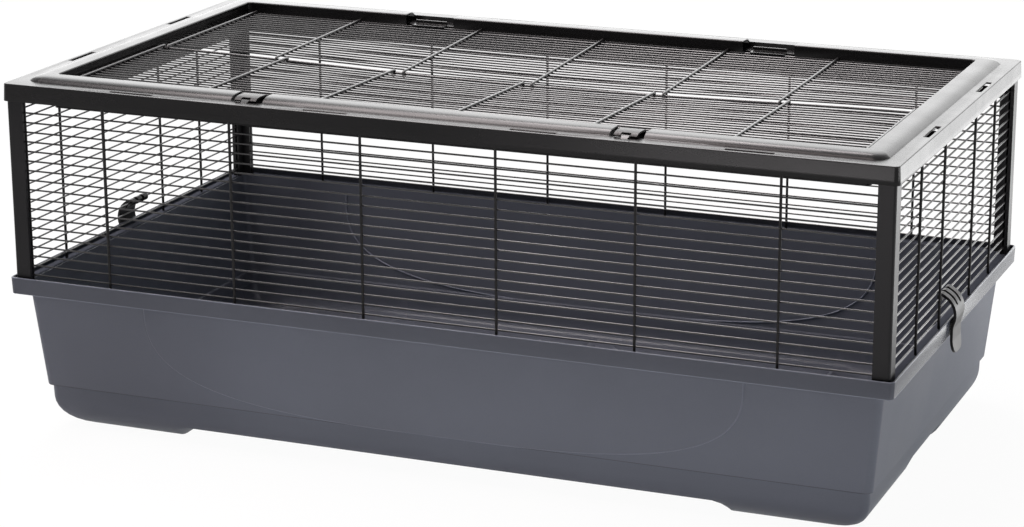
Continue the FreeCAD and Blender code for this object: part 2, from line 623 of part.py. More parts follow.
def build_nodes():
    """Every node by name, each a list of solids."""
    nodes = {"base_tub": [base_tub()], "top_frame": [top_frame()]}
    for name_y, sign_y in (("front", -1), ("back", 1)):
        for name_x, sign_x in (("left", -1), ("right", 1)):
            nodes["post_" + name_y + "_" + name_x] = [corner_post(sign_x, sign_y)]
    for name, maker, side in (("front", long_panel, -1), ("back", long_panel, 1),
                              ("left", short_panel, -1), ("right", short_panel, 1)):
        bars, uprights = maker(side)
        nodes[name + "_panel_bars"] = bars
        nodes[name + "_panel_uprights"] = uprights
    for name, places, place_panel in (("door", DOOR_WIRES, list), ("rear", [-x for x in REAR_WIRES], turned)):
        bars, wires = roof_panel(places)
        nodes["roof_" + name + "_bars"] = place_panel(bars)
        nodes["roof_" + name + "_cross_wires"] = place_panel(wires)
    nodes["roof_hinge_wire"] = [hinge_wire()]
    nodes["roof_clip_left"] = [roof_clip(-NOTCH_PLACE)]
    nodes["roof_clip_right"] = [roof_clip(NOTCH_PLACE)]
    nodes["side_clip_right"] = [side_clip(RIGHT_CLIP_PLACE)]
    nodes["side_clip_left"] = turned([side_clip(-LEFT_CLIP_PLACE)])
    return nodes


def main():
    """Builds the nodes, prints what each one holds and writes a STEP file for each."""
    os.makedirs("parts", exist_ok=True)
    for name, solids in build_nodes().items():
        shape = solids[0] if len(solids) == 1 else Part.makeCompound(solids)
        box = shape.BoundBox
        print(name, "solids", len(shape.Solids), "valid", shape.isValid(), "volume", round(shape.Volume),
              "x", round(box.XMin, 2), round(box.XMax, 2), "y", round(box.YMin, 2), round(box.YMax, 2),
              "z", round(box.ZMin, 2), round(box.ZMax, 2))
        shape.exportStep("parts/" + name + ".step")


main()
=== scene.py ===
import math
import bmesh
import bpy
import numpy as np
from mathutils import Matrix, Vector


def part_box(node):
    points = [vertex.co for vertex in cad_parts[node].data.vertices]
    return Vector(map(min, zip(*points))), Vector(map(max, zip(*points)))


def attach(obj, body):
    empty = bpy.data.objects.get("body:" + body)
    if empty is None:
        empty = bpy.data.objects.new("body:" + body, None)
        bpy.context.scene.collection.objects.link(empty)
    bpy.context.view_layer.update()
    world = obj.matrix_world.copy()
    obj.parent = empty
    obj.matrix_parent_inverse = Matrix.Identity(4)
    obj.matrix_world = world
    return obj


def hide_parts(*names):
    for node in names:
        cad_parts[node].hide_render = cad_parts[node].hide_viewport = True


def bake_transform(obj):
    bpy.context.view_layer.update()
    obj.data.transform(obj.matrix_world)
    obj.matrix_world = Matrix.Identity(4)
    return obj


# Looks of a long low rodent cage: a moulded tub, a wire cage with a moulded top frame, a hinged wire roof and four
# clips. Metres, +Z up, front at -Y. Main sizes are read from the frame's own boxes, small ones are named below in mm.
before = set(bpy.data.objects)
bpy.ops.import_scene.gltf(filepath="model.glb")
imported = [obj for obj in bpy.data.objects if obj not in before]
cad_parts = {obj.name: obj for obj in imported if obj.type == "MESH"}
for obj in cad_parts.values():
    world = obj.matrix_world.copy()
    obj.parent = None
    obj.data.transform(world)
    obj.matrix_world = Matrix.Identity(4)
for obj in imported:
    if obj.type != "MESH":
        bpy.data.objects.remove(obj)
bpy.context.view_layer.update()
MM = 0.001

# How meshes are made: sharp and softened edges in degrees, and how near two points are joined
SHARP_ANGLE = 38.0
SOFT_ANGLE = 50.0
JOIN_GAP = 0.02
FINE_JOIN_GAP = 0.001


def box_corner(node, end):
    """Lowest (0) or highest (1) corner of a frame node, in millimetres."""
    return np.array(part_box(node)[end]) / MM


# Tub
RIM_HX, RIM_HY, RIM_TOP = box_corner("base_tub", 1)
SKIRT_HEIGHT = 19.0
SKIRT_BOTTOM = RIM_TOP - SKIRT_HEIGHT
SKIRT_DRAW = 0.9
RIM_LIP = 2.4
RIM_CORNER = 6.0
RIM_SOFT = 1.0
CHANNEL_DEPTH = 6.0
CHANNEL_FLOOR = RIM_TOP - CHANNEL_DEPTH
FLANGE = 2.5
WALL = 2.5
WALL_INSET = 13.2
WALL_DRAW = np.array([12.0, 9.0])
STEP_HEIGHT = 50.5
STEP_IN = 3.7
STEP_SOFT = 0.8
FOOT_DRAW = 1.5
BOTTOM_RADIUS = 36.0
BOTTOM_STEPS = 10
FLOOR_SHARES = (1.0, 0.6, 0.3)
PLAN_CORNER = 9.0
FOOT_CORNER = 20.0
ARCH_RISE = 16.5
ARCH_END_RISE = 26.0
ARCH_END_FROM = 400.0
ARCH_RAMP = 18.0
ARCH_HALF = (303.0, 53.5)
BOAT_HALF = 342.0
BOAT_DEPTH = 110.0
BOAT_POWER = 3.1
BOAT_PROUD = 0.8
BOAT_EDGE = 1.2
BOAT_SHEET = 0.6
BOAT_CORE = 0.2
BOAT_STEPS = 97
# Rows of a boat-shaped field from its edge inwards: inset, height of the field, height of the rib, spread, share of
# the painted highlight
BOAT_ROWS = np.array([
    (0.0, -1.0, -1.0, 1.0, 1.0),
    (0.35, 0.35, 0.6, 1.0, 1.0),
    (0.75, 0.85, 1.0, 1.0, 1.0),
    (1.0, 1.0, 0.6, 1.0, 0.8),
    (1.15, 1.0, -1.0, 1.0, 0.0),
    (1.15, 1.0, -1.0, 0.0, 0.0),
])

# Top frame
FLARE = 1.06
FRAME_HX, FRAME_HY, BEAD_TOP = box_corner("top_frame", 1) - (FLARE, FLARE, 0)
BEAD_RISE = 5.2
LEDGE_TOP = BEAD_TOP - BEAD_RISE
FASCIA_HEIGHT = 19.0
FASCIA_BOTTOM = LEDGE_TOP - FASCIA_HEIGHT
LEDGE_EDGE = 0.9
LEDGE_WIDTH = 17.5
BEAD_WIDTH = 25.8
BEAD_POWER = 5.5
BEAD_STEPS = 15
BEAD_CROWDING = 1.5
FASCIA_STEPS = 4
EDGE_STEPS = 7
WELL_INSET = LEDGE_WIDTH + BEAD_WIDTH
FRAME_WALL = 2.0
INNER_EDGE = 1.6
ROOF_LIP = 3.0
SLOT_ROWS = (4.0, 10.5)
LEDGE_ROWS = (*SLOT_ROWS, LEDGE_WIDTH - 2, LEDGE_WIDTH - 0.6)
SLOT_HALF = 25.5
LONG_SLOTS = (-344.0, -116.0, 116.0, 344.0)
SHORT_SLOTS = (-111.0, 111.0)
NOTCHES = (-212.0, 212.0)
FRONT_NOTCH_HALF = 18.5
BACK_NOTCH_HALF = 31.0
WEB_SETBACK = 5.0
WEB_INSET = WELL_INSET - WEB_SETBACK
NOTCH_SINK = 6.0
INNER_WALL_BELOW = 12.5
INNER_WALL_CORNER = 4.0
HOOK_HALF = np.array([23.0, 5.0, 1.2])
HOOK_DROP = 3.0
HOOK_Z = LEDGE_TOP - FRAME_WALL - HOOK_DROP
TONGUE_HALF = 20.0
TONGUE_TIP_Y = 214.75
TONGUE_BEND = 1.5
TONGUE_SOFT = 0.4
CORNER_INSETS = (-FLARE, 0.0, LEDGE_WIDTH, WELL_INSET - 8, WELL_INSET + ROOF_LIP)
CORNER_RADII = (6.0, 5.0, 15.0, 8.0, 3.0)
CORNER_STEPS = 8

# Wires
BAR_RADIUS = 1.0
UPRIGHT_RADIUS = 1.5
BAR_SIDES = 8
UPRIGHT_SIDES = 12
ROOF_WIRE_SIDES = 10
END_CHAMFER = 0.4
BARS = 18
LONG_UPRIGHTS = np.linspace(-378.0, 378.0, 6)
SHORT_UPRIGHTS = np.array([-156.0, -60.5, 71.0, 161.0])
ROOF_BARS = 20
ROOF_BAR_STATIONS = 33
CROSS_STATIONS = 17
EYE_STATIONS = 19
DOOR_WIRES = np.array([-448.55, -290.5, -157.0, -1.0, 152.5, 305.0, 442.55])
REAR_WIRES = np.array([-442.55, -302.5, -144.0, 10.5, 164.0, 295.5, 448.55])
HINGE_Z = (box_corner("roof_hinge_wire", 0)[2] + box_corner("roof_hinge_wire", 1)[2]) / 2
EYE_RADIUS = 3.1
EYE_TURN = 270.0
ROOF_SAG = 7.4
ROOF_REACH = (452.45, 219.75)
WELD_HALF = (1.1, 1.1, 0.9)
WELD_SIDES = 8
WELD_TILTS = (0.22, 0.5, 0.78)

# Clips
ARC_STEP = 10.0
ARC_LEAST = 5
SIDE_CLIP_THICK = 3.0
SIDE_CLIP_SOFT = 0.5
SIDE_CLIP_HALF = 18.0
SIDE_CLIP_CURL = 225.0
SIDE_CLIP_HOOK_END = 60.0
SIDE_BULGE = 23.0
SIDE_RETURN = 22.0
SIDE_WAIST = 20.0
SIDE_GAP = 0.6
SIDE_CURL = 2.8
TONGUE_BELOW = 2.5
TONGUE_FLARE = (25.0, 10.0)
TONGUE_TIP = 12.7
TONGUE_TIP_RADIUS = 12.0
FINGER_EDGES = (4.5, 9.0)
FINGER_LENGTH = 9.0
ROOF_CLIP_THICK = 2.2
ROOF_CLIP_SOFT = 0.4
ROOF_CLIP_HALF = 12.6
ROOF_CLIP_WINDOW = 5.0
ROOF_CLIP_CURL = 240.0
ROOF_CLIP_HOOK_END = 90.0
ROOF_CURL = 2.4
ROOF_CLIP_BEND = 3.5
ROOF_CLIP_CLIMB = 80.0
ROOF_CLIP_CROWN = 7.0
ROOF_CLIP_NOSE = 9.0
ROOF_CLIP_REACH = 7.5
ROOF_CLIP_CLEAR = 0.3
ROOF_CLIP_LINTEL = 1.5
ROOF_CLIP_SHARE = 0.6
CATCH_HALF = (3.4, 4.4)
CATCH_RISE = 2.7
CATCH_RUN = (0.5, 6.0, 8.0)

# Photograph's camera, in metres
CAMERA_PLACE = (1.16075, -2.83102, 1.05892)
CAMERA_RIGHT = (0.934613, 0.355637, 0.004102)
CAMERA_UP = (-0.104004, 0.262252, 0.959376)
CAMERA_BACK = (0.340108, -0.897075, 0.282087)
CAMERA_LENS = 99.787
CAMERA_SENSOR = 36.0
CAMERA_SHIFT = (-0.08284, 0.01321)

# Studio: light that the surround gives beside the lamps, and the floor's half size, grey and whiteness
WORLD_LIGHT = 0.07
FLOOR_REACH = 14.0
FLOOR_GREY = 0.8
FLOOR_WHITE = 0.96

# Studio lamps: name, place, point that it faces, size in metres, power in watts, colour
LAMPS = (
    ("back_box", (-0.9, 3.4, 1.45), (-0.2, 0, 0.3), (5.2, 2.3), 86.0, (1.0, 1.0, 1.0)),
    ("right_box", (3.4, 0.4, 0.09), (0.4, 0, 0.12), (2.4, 0.16), 33.0, (1.0, 1.0, 1.0)),
    ("top_box", (-0.9, 0.5, 2.7), (-0.2, 0.3, 0.35), (3.2, 0.8), 128.0, (1.0, 0.92, 0.92)),
    ("front_top_box", (-0.5, -0.6, 2.7), (0, 0.2, 0.05), (2.6, 0.4), 26.0, (1.0, 0.86, 0.84)),
    ("high_box", (-0.9, 2.1, 2.6), (0, -0.1, 0.35), (3.2, 1.4), 24.0, (1.0, 1.0, 1.0)),
    ("left_box", (-2.8, -0.5, 1.2), (0.2, 0, 0.1), (1.4, 1.0), 22.0, (1.0, 0.9, 0.89)),
    ("front_strip", (0.08, -1.45, 0.17), (0.2, 0, 0.15), (0.6, 0.16), 2.4, (1.0, 0.95, 0.97)),
    ("floor_card", (0.28, -0.36, 0.004), (0.28, -0.3, 1.0), (1.1, 0.22), 0.6, (1.0, 1.0, 1.0)),
    ("low_card", (0.95, 0.8, 0.16), (0.5, -0.3, 0.25), (0.9, 0.3), 1.9, (1.0, 1.0, 1.0)),
    ("rim_card", (0.68, 0.45, 0.01), (0.6, 0.35, 0.2), (0.2, 0.9), 1.1, (1.0, 1.0, 1.0)),
)

# How much lighter or darker some places of the tub are painted (painted highlights on the edges, the boat border and
# the rib, painted shade on the lip and channel, a painted shadow at the step), how far an edge's painted highlight
# reaches, and the floor's sheen
EDGE_REACH = 0.75
EDGE_PAINTED_HIGHLIGHT = 0.75
LIP_PAINTED_SHADE = -0.3
CHANNEL_PAINTED_SHADE = -0.5
STEP_PAINTED_SHADOW = -0.9
BOAT_PAINTED_HIGHLIGHT = 0.3
RIB_PAINTED_HIGHLIGHT = 0.9
FLOOR_SHEEN = 0.7

# Moulded and coated surfaces: slow drift of colour and gloss, strength of the grain, middle range of a noise
DRIFT_SCALE = 7.0
DRIFT_DETAIL = 4.0
GRAIN_STRENGTH = 0.6
NOISE_LOW = 0.3
NOISE_HIGH = 0.7


def grid_quads(rows, columns, closed=False):
    """Corner numbers of a grid's cells as (rows - 1, cells, 4); closed joins the last column to the first."""
    number = np.arange(rows * columns).reshape(rows, columns)
    if closed:
        number = np.concatenate([number, number[:, :1]], axis=1)
    return np.stack([number[:-1, :-1], number[:-1, 1:], number[1:, 1:], number[1:, :-1]], axis=-1)


def make_piece(name, points, faces, body, slot, material, weld=None):
    """Mesh piece from (n, 3) points in millimetres and a list of (m, corners) face arrays.

    weld joins points closer than that distance and turns the faces of the shape outwards. A piece with no body is
    left attached to none.
    """
    mesh = bpy.data.meshes.new(name)
    faces = [np.asarray(f).reshape(-1, np.shape(f)[-1]) for f in faces]
    sizes = np.concatenate([np.full(len(f), f.shape[1]) for f in faces])
    mesh.vertices.add(len(points))
    mesh.vertices.foreach_set("co", (np.asarray(points, float) * MM).astype(np.float32).ravel())
    mesh.loops.add(int(sizes.sum()))
    mesh.loops.foreach_set("vertex_index", np.concatenate([f.ravel() for f in faces]).astype(np.int32))
    mesh.polygons.add(len(sizes))
    mesh.polygons.foreach_set("loop_start", (np.cumsum(sizes) - sizes).astype(np.int32))
    mesh.update(calc_edges=True)
    if weld is not None:
        work = bmesh.new()
        work.from_mesh(mesh)
        bmesh.ops.remove_doubles(work, verts=work.verts, dist=weld * MM)
        bmesh.ops.recalc_face_normals(work, faces=work.faces)
        work.to_mesh(mesh)
        work.free()
    mesh.shade_smooth()
    mesh.set_sharp_from_angle(angle=math.radians(SHARP_ANGLE))
    mesh.materials.append(material)
    piece = bpy.data.objects.new(name, mesh)
    bpy.context.scene.collection.objects.link(piece)
    if body is not None:
        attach(piece, body)
    return piece


def thicken(piece, thickness, offset, soft=None):
    """Gives a sheet its thickness, from the sheet inwards (-1) or to both sides (0), and softens its edges."""
    solid = piece.modifiers.new("thickness", "SOLIDIFY")
    solid.thickness = thickness * MM
    solid.offset = offset
    if soft is not None:
        bevel = piece.modifiers.new("soft_edges", "BEVEL")
        bevel.width = soft * MM
        bevel.segments = 2
        bevel.limit_method = "ANGLE"
        bevel.angle_limit = math.radians(SOFT_ANGLE)
    flat = piece.modifiers.new("flat_faces", "WEIGHTED_NORMAL")
    flat.keep_sharp = True


def round_wires(paths, radius, side, sides):
    """Points and faces of round wires along (wires, stations, 3) paths, all worked out at once.

    Each station carries a circle spanned by the side direction and by the path's direction crossed with it. The end
    circles are drawn in to make chamfered ends, and flat caps close them.
    """
    chamfer = END_CHAMFER * radius
    paths = np.asarray(paths, float)
    head = paths[:, 1:2] - paths[:, :1]
    tail = paths[:, -2:-1] - paths[:, -1:]
    head = paths[:, :1] + head / np.linalg.norm(head, axis=2, keepdims=True) * chamfer
    tail = paths[:, -1:] + tail / np.linalg.norm(tail, axis=2, keepdims=True) * chamfer
    paths = np.concatenate([paths[:, :1], head, paths[:, 1:-1], tail, paths[:, -1:]], axis=1)
    wires, stations = paths.shape[:2]
    along = np.gradient(paths, axis=1)
    along /= np.linalg.norm(along, axis=2, keepdims=True)
    across = np.cross(along, np.asarray(side, float))
    across /= np.linalg.norm(across, axis=2, keepdims=True)
    reach = np.full((1, stations, 1, 1), radius)
    reach[0, [0, -1]] = radius - chamfer
    turn = np.linspace(0, 2 * np.pi, sides, endpoint=False)[None, None, :, None]
    circle = np.cos(turn) * np.asarray(side, float) + np.sin(turn) * across[:, :, None]
    points = (paths[:, :, None] + reach * circle).reshape(-1, 3)
    first = (np.arange(wires) * stations * sides)[:, None, None]
    quads = grid_quads(stations, sides, True).reshape(1, -1, 4)[:, :, ::-1] + first
    ring = np.arange(sides)
    caps = np.stack([ring, (stations - 1) * sides + ring[::-1]])[None] + first
    return points, [quads.reshape(-1, 4), caps.reshape(-1, sides)]


def weld_beads(centres):
    """Points and faces of small flat globes where wires are welded: three rings and two poles for each centre."""
    turn = np.linspace(0, 2 * np.pi, WELD_SIDES, endpoint=False)
    tilt = np.pi * np.array(WELD_TILTS)[:, None]
    rings = np.stack([np.sin(tilt) * np.cos(turn), np.sin(tilt) * np.sin(turn), np.cos(tilt) + 0 * turn], axis=-1)
    globe = np.concatenate([rings.reshape(-1, 3), [(0, 0, 1), (0, 0, -1)]]) * WELD_HALF
    ring = np.arange(WELD_SIDES)
    after = np.roll(ring, -1)
    top = np.full(WELD_SIDES, len(globe) - 2)
    last = len(globe) - 2 - WELD_SIDES
    tips = np.concatenate([np.stack([top, ring, after], axis=1),
                           np.stack([top + 1, last + after, last + ring], axis=1)])
    first = len(globe) * np.arange(len(centres))[:, None, None]
    quads = grid_quads(len(WELD_TILTS), WELD_SIDES, True).reshape(1, -1, 4)[:, :, ::-1] + first
    points = (np.asarray(centres)[:, None] + globe).reshape(-1, 3)
    return points, [quads.reshape(-1, 4), (tips[None] + first).reshape(-1, 3)]


def joined(parts):
    """One (points, faces) pair from several: the corner numbers of each are moved past the points before it."""
    points, faces, first = [], [], 0
    for some_points, some_faces in parts:
        points.append(some_points)
        faces += [np.asarray(f) + first for f in some_faces]
        first += len(some_points)
    return np.concatenate(points), faces


def placed(x, y, z):
    """Points whose three coordinates are broadcast to one shape."""
    return np.stack(np.broadcast_arrays(np.asarray(x, float), y, z), axis=-1)


def around(half_x, half_y, corner, height, stops_x, stops_y):
    """Rounded rectangles of (rows, 1) sizes as (rows, columns, 3), from the front side on, counter-clockwise.

    Each side has its two ends and the given stops between them; quarter circles join the sides.
    """
    arc = np.linspace(0, np.pi / 2, CORNER_STEPS + 1)[1:-1]
    rings = []
    for turn in range(4):
        along_half, out = (half_x, half_y) if turn % 2 == 0 else (half_y, half_x)
        end = along_half - corner
        along = np.clip(stops_x if turn % 2 == 0 else stops_y, -end, end)
        along = np.concatenate([-end, along, end, end + corner * np.sin(arc)], axis=1)
        across = np.concatenate([np.repeat(out, along.shape[1] - len(arc), axis=1),
                                 out - corner + corner * np.cos(arc)], axis=1)
        x, y = [(along, -across), (across, along), (-along, across), (-across, -along)][turn]
        rings.append(placed(x, y, height))
    return np.concatenate(rings, axis=1)


def noise(nodes, links, where, scale, detail=2.0):
    """Noise texture read at a place, whose scale counts features a metre."""
    node = nodes.new("ShaderNodeTexNoise")
    node.inputs["Scale"].default_value = scale
    node.inputs["Detail"].default_value = detail
    links.new(where, node.inputs["Vector"])
    return node.outputs["Fac"]


def spread(nodes, links, value, low, high, start=NOISE_LOW, end=NOISE_HIGH):
    """Maps a texture's middle range to low and high."""
    node = nodes.new("ShaderNodeMapRange")
    node.inputs["From Min"].default_value = start
    node.inputs["From Max"].default_value = end
    node.inputs["To Min"].default_value = low
    node.inputs["To Max"].default_value = high
    links.new(value, node.inputs["Value"])
    return node.outputs["Result"]


def carried(nodes, name):
    """Value of a number that a piece's points carry, 0 where they carry none."""
    node = nodes.new("ShaderNodeAttribute")
    node.attribute_name = name
    return node.outputs["Fac"]


def read_points(piece, what):
    """Places ("co", in metres) or normals ("normal") of a piece's points, as (points, 3)."""
    values = np.zeros(3 * len(piece.data.vertices), np.float32)
    piece.data.vertices.foreach_get(what, values)
    return values.reshape(-1, 3)


def mark_points(piece, name, values):
    """Gives each point of a piece a number for its material."""
    mark = piece.data.attributes.new(name, "FLOAT", "POINT")
    mark.data.foreach_set("value", np.asarray(values, np.float32).ravel())


def moulded_finish(name, dark, light, rough, grain, specular, stretch=(1, 1, 1), polished=None):
    """Moulded or coated surface: colour and gloss drift over the piece, and a fine grain roughens it.

    rough is the lowest and highest roughness, grain is (features a metre, bump depth in millimetres, colour share).
    A piece's points may carry two numbers: "tone" makes the colour that share lighter or darker, which paints
    highlights, shade and shadow on the tub, and "sheen" runs from -1, which takes the gloss away, to 1, where the
    roughness is polished.
    """
    material = bpy.data.materials.new(name)
    material.use_nodes = True
    nodes, links = material.node_tree.nodes, material.node_tree.links
    skin = nodes["Principled BSDF"]
    place = nodes.new("ShaderNodeTexCoord").outputs["Object"]
    drawn = nodes.new("ShaderNodeMapping")
    drawn.inputs["Scale"].default_value = stretch
    links.new(place, drawn.inputs["Vector"])
    fine = noise(nodes, links, place, grain[0])
    drift = noise(nodes, links, drawn.outputs["Vector"], DRIFT_SCALE, DRIFT_DETAIL)
    total = nodes.new("ShaderNodeMath")
    total.operation = "MULTIPLY_ADD"
    links.new(fine, total.inputs[0])
    total.inputs[1].default_value = grain[2]
    links.new(spread(nodes, links, drift, 0, 1 - grain[2]), total.inputs[2])
    tint = nodes.new("ShaderNodeMix")
    tint.data_type = "RGBA"
    tint.inputs["A"].default_value = (*dark, 1)
    tint.inputs["B"].default_value = (*light, 1)
    links.new(total.outputs[0], tint.inputs["Factor"])
    shade = nodes.new("ShaderNodeVectorMath")
    shade.operation = "SCALE"
    links.new(tint.outputs["Result"], shade.inputs[0])
    links.new(spread(nodes, links, carried(nodes, "tone"), 0, 2, -1, 1), shade.inputs["Scale"])
    links.new(shade.outputs["Vector"], skin.inputs["Base Color"])
    roughness = spread(nodes, links, drift, *rough)
    if polished is not None:
        sheen = carried(nodes, "sheen")
        smooth = nodes.new("ShaderNodeMix")
        links.new(sheen, smooth.inputs["Factor"])
        links.new(roughness, smooth.inputs["A"])
        smooth.inputs["B"].default_value = polished
        roughness = smooth.outputs["Result"]
        links.new(spread(nodes, links, sheen, 0, specular, -1, 0), skin.inputs["Specular IOR Level"])
    links.new(roughness, skin.inputs["Roughness"])
    skin.inputs["Specular IOR Level"].default_value = specular
    bump = nodes.new("ShaderNodeBump")
    bump.inputs["Strength"].default_value = GRAIN_STRENGTH
    bump.inputs["Distance"].default_value = grain[1] * MM
    links.new(fine, bump.inputs["Height"])
    links.new(bump.outputs["Normal"], skin.inputs["Normal"])
    return material


TUB_PLASTIC = moulded_finish("tub_plastic", (0.08, 0.0885, 0.11), (0.103, 0.114, 0.141), (0.45, 0.58),
                             (1100.0, 0.16, 0.5), 0.17, polished=0.16)
FRAME_PLASTIC = moulded_finish("frame_plastic", (0.003, 0.0028, 0.003), (0.0065, 0.006, 0.0065), (0.22, 0.28),
                               (700.0, 0.0, 0.3), 0.18, (1, 4, 4))
WIRE_COAT = moulded_finish("wire_coat", (0.008, 0.0075, 0.008), (0.016, 0.015, 0.016), (0.26, 0.36),
                           (900.0, 0.04, 0.4), 0.45)
# Darker, duller copy of the wire coat: painted shade on the wall panels' uprights and welds
ROD_SHADED_COAT = moulded_finish("rod_shaded_coat", (0.004, 0.0038, 0.004), (0.009, 0.0085, 0.009), (0.36, 0.46),
                          (900.0, 0.04, 0.4), 0.16)
POST_PLASTIC = moulded_finish("post_plastic", (0.009, 0.009, 0.01), (0.014, 0.014, 0.015), (0.3, 0.4),
                              (700.0, 0.01, 0.3), 0.14)
CLIP_PLASTIC = moulded_finish("clip_plastic", (0.005, 0.0047, 0.005), (0.01, 0.0095, 0.01), (0.3, 0.4),
                              (800.0, 0.02, 0.4), 0.15)
# Darker, glossless copy of the frame plastic: painted shade for the hooks down in the slots
HOOK_SHADE_PLASTIC = moulded_finish("hook_shade_plastic", (0.003, 0.0028, 0.003), (0.005, 0.0047, 0.005), (0.5, 0.6),
                              (700.0, 0.0, 0.3), 0.0)


def soft_corner(before, corner, after, radius, steps=3):
    """Small arc that rounds one corner of an outline of (half length, half width, corner, height) rows."""
    start, end = [corner + (p - corner) / math.hypot(*(p - corner)[[1, 3]]) * radius for p in (before, after)]
    part = np.linspace(0, 1, steps + 1)[:, None]
    return (1 - part) ** 2 * start + 2 * part * (1 - part) * corner + part ** 2 * end


def tub_wall_rows(inward):
    """Rows of the tub's wall, drawn in by a distance, from the middle of the floor up to the channel.

    A row is (half length, half width, corner, height): the floor, a quarter round, the foot wall, the step and the
    leaning wall.
    """
    top = np.array([RIM_HX, RIM_HY]) - WALL_INSET - inward
    step = STEP_HEIGHT + inward
    low = top - WALL_DRAW - STEP_IN
    lean = (CHANNEL_FLOOR - step) / (CHANNEL_FLOOR - STEP_HEIGHT)
    out = top - WALL_DRAW * lean
    radius = BOTTOM_RADIUS - inward
    turn = np.linspace(0, np.pi / 2, BOTTOM_STEPS)[:, None]
    height = inward + radius * (1 - np.cos(turn))
    half = low - FOOT_DRAW * (step - height) / (step - inward) - radius * (1 - np.sin(turn))
    corner = PLAN_CORNER - inward + (FOOT_CORNER - PLAN_CORNER) * (1 - np.sin(turn))
    quarter = np.concatenate([half, corner, height], axis=1)
    inner = quarter[0, :2].min()
    share = np.array(FLOOR_SHARES)[:, None]
    floor = np.concatenate([quarter[0, :2] - share * inner, (1 - share) * quarter[0, 2],
                            np.full(share.shape, inward)], axis=1)
    bend = PLAN_CORNER - inward
    foot = np.array([*quarter[-1]])
    knee = np.array([*low, bend, step])
    brow = np.array([*out, bend, step])
    high = np.array([*top, bend, CHANNEL_FLOOR])
    return np.concatenate([floor, quarter, soft_corner(foot, knee, brow, STEP_SOFT),
                           soft_corner(knee, brow, high, STEP_SOFT), high[None]])


def arch_height(x, y):
    """Height of the cross-shaped ridge that lifts the floor between the feet, higher at the end walls."""
    rise = [np.clip(1 - (np.abs(v) - flat) / ARCH_RAMP, 0, 1) for v, flat in zip((x, y), ARCH_HALF)]
    end_rise = np.where(np.abs(x) > ARCH_END_FROM, ARCH_END_RISE, ARCH_RISE)
    return np.maximum(ARCH_RISE * rise[0], end_rise * rise[1])


def tub():
    """Tub as one closed skin: up the outside, round the flange, skirt and lip, and down the inside to the floor."""
    rim = np.array([RIM_HX, RIM_HY])

    def ring(inset, height):
        """Row of the rim at an inset from its outline and a height."""
        return np.array([*(rim - inset), RIM_CORNER - min(inset, RIM_CORNER / 2), height])

    outside, inside = tub_wall_rows(0.0), tub_wall_rows(WALL)
    under = CHANNEL_FLOOR - FLANGE
    skirt_in = SKIRT_DRAW + RIM_LIP
    share = (under - STEP_HEIGHT) / (CHANNEL_FLOOR - STEP_HEIGHT)
    outside[-1] = outside[-2] + (outside[-1] - outside[-2]) * share
    outside[-1, 3] = under
    corners = [ring(skirt_in, under), ring(skirt_in, SKIRT_BOTTOM), ring(SKIRT_DRAW, SKIRT_BOTTOM),
               ring(0, RIM_TOP), ring(RIM_LIP, RIM_TOP), ring(RIM_LIP, CHANNEL_FLOOR),
               ring(WALL_INSET + WALL - 2 * RIM_SOFT, CHANNEL_FLOOR)]
    edge = [outside[-1]] + corners + [inside[-1]]
    lip = [soft_corner(edge[i - 1], edge[i], edge[i + 1], RIM_SOFT) for i in range(1, len(edge) - 1)]
    rows = np.concatenate([outside, *lip, inside[::-1]])
    stops = [np.array([-flat - ARCH_RAMP, -flat, flat, flat + ARCH_RAMP]) for flat in ARCH_HALF]
    points = around(*(rows[:, i:i + 1] for i in range(4)), *stops)
    last_outer = len(outside)
    first_inner = len(rows) - len(inside)
    for part, lift in ((slice(0, last_outer), 0.0), (slice(first_inner, None), WALL)):
        low = points[part, :, 2] < BOTTOM_RADIUS
        arch = arch_height(points[part, :, 0], points[part, :, 1])
        lifted = np.where(arch > 0, np.maximum(points[part, :, 2], arch + lift), points[part, :, 2])
        points[part, :, 2] = np.where(low, lifted, points[part, :, 2])
    quads = grid_quads(*points.shape[:2], True)
    piece = make_piece("tub", points.reshape(-1, 3), [quads], "base", "tub_plastic", TUB_PLASTIC, weld=JOIN_GAP)
    mark_tub(piece, rim)
    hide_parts("base_tub")


def mark_tub(piece, rim):
    """Marks the tub's places by their inset from the rim's outline and their height.

    Painted shade darkens the outer lip and the channel, a painted shadow line darkens the step, and a painted
    highlight lightens the two edges of the skirt; the channel has no gloss, and the lip and the inside edge of the
    floor have more.
    """
    where = read_points(piece, "co") / MM
    up = read_points(piece, "normal")[:, 2]
    past = np.abs(where[:, :2]) - rim + RIM_CORNER
    inset = RIM_CORNER - np.hypot(*np.maximum(past, 0).T) - np.minimum(past.max(axis=1), 0)
    # The outer lip: more polished, and darkened with painted shade
    outer = inset < SKIRT_DRAW + RIM_LIP / 2
    # The channel: darkened with painted shade, and its gloss is taken away
    channel = (inset > RIM_LIP - RIM_SOFT / 2) & (inset < WALL_INSET + WALL - RIM_SOFT / 2)
    channel &= where[:, 2] > CHANNEL_FLOOR - RIM_SOFT / 2
    # Painted highlight along the skirt's bottom edge and the rim's top outer edge
    edge = np.hypot(inset - SKIRT_DRAW, where[:, 2] - SKIRT_BOTTOM) < EDGE_REACH * RIM_SOFT
    edge |= np.hypot(inset, where[:, 2] - RIM_TOP) < EDGE_REACH * RIM_SOFT
    # Painted shadow line along the step
    step = np.abs(where[:, 2] - STEP_HEIGHT) < STEP_SOFT / 2
    floor = (where[:, 2] < BOTTOM_RADIUS + WALL) & (up > 0) & ~outer
    mark_points(piece, "sheen", outer * 1.0 - channel + FLOOR_SHEEN * floor)
    tone = LIP_PAINTED_SHADE * outer + CHANNEL_PAINTED_SHADE * channel + STEP_PAINTED_SHADOW * step
    mark_points(piece, "tone", np.where(edge, EDGE_PAINTED_HIGHLIGHT, tone))


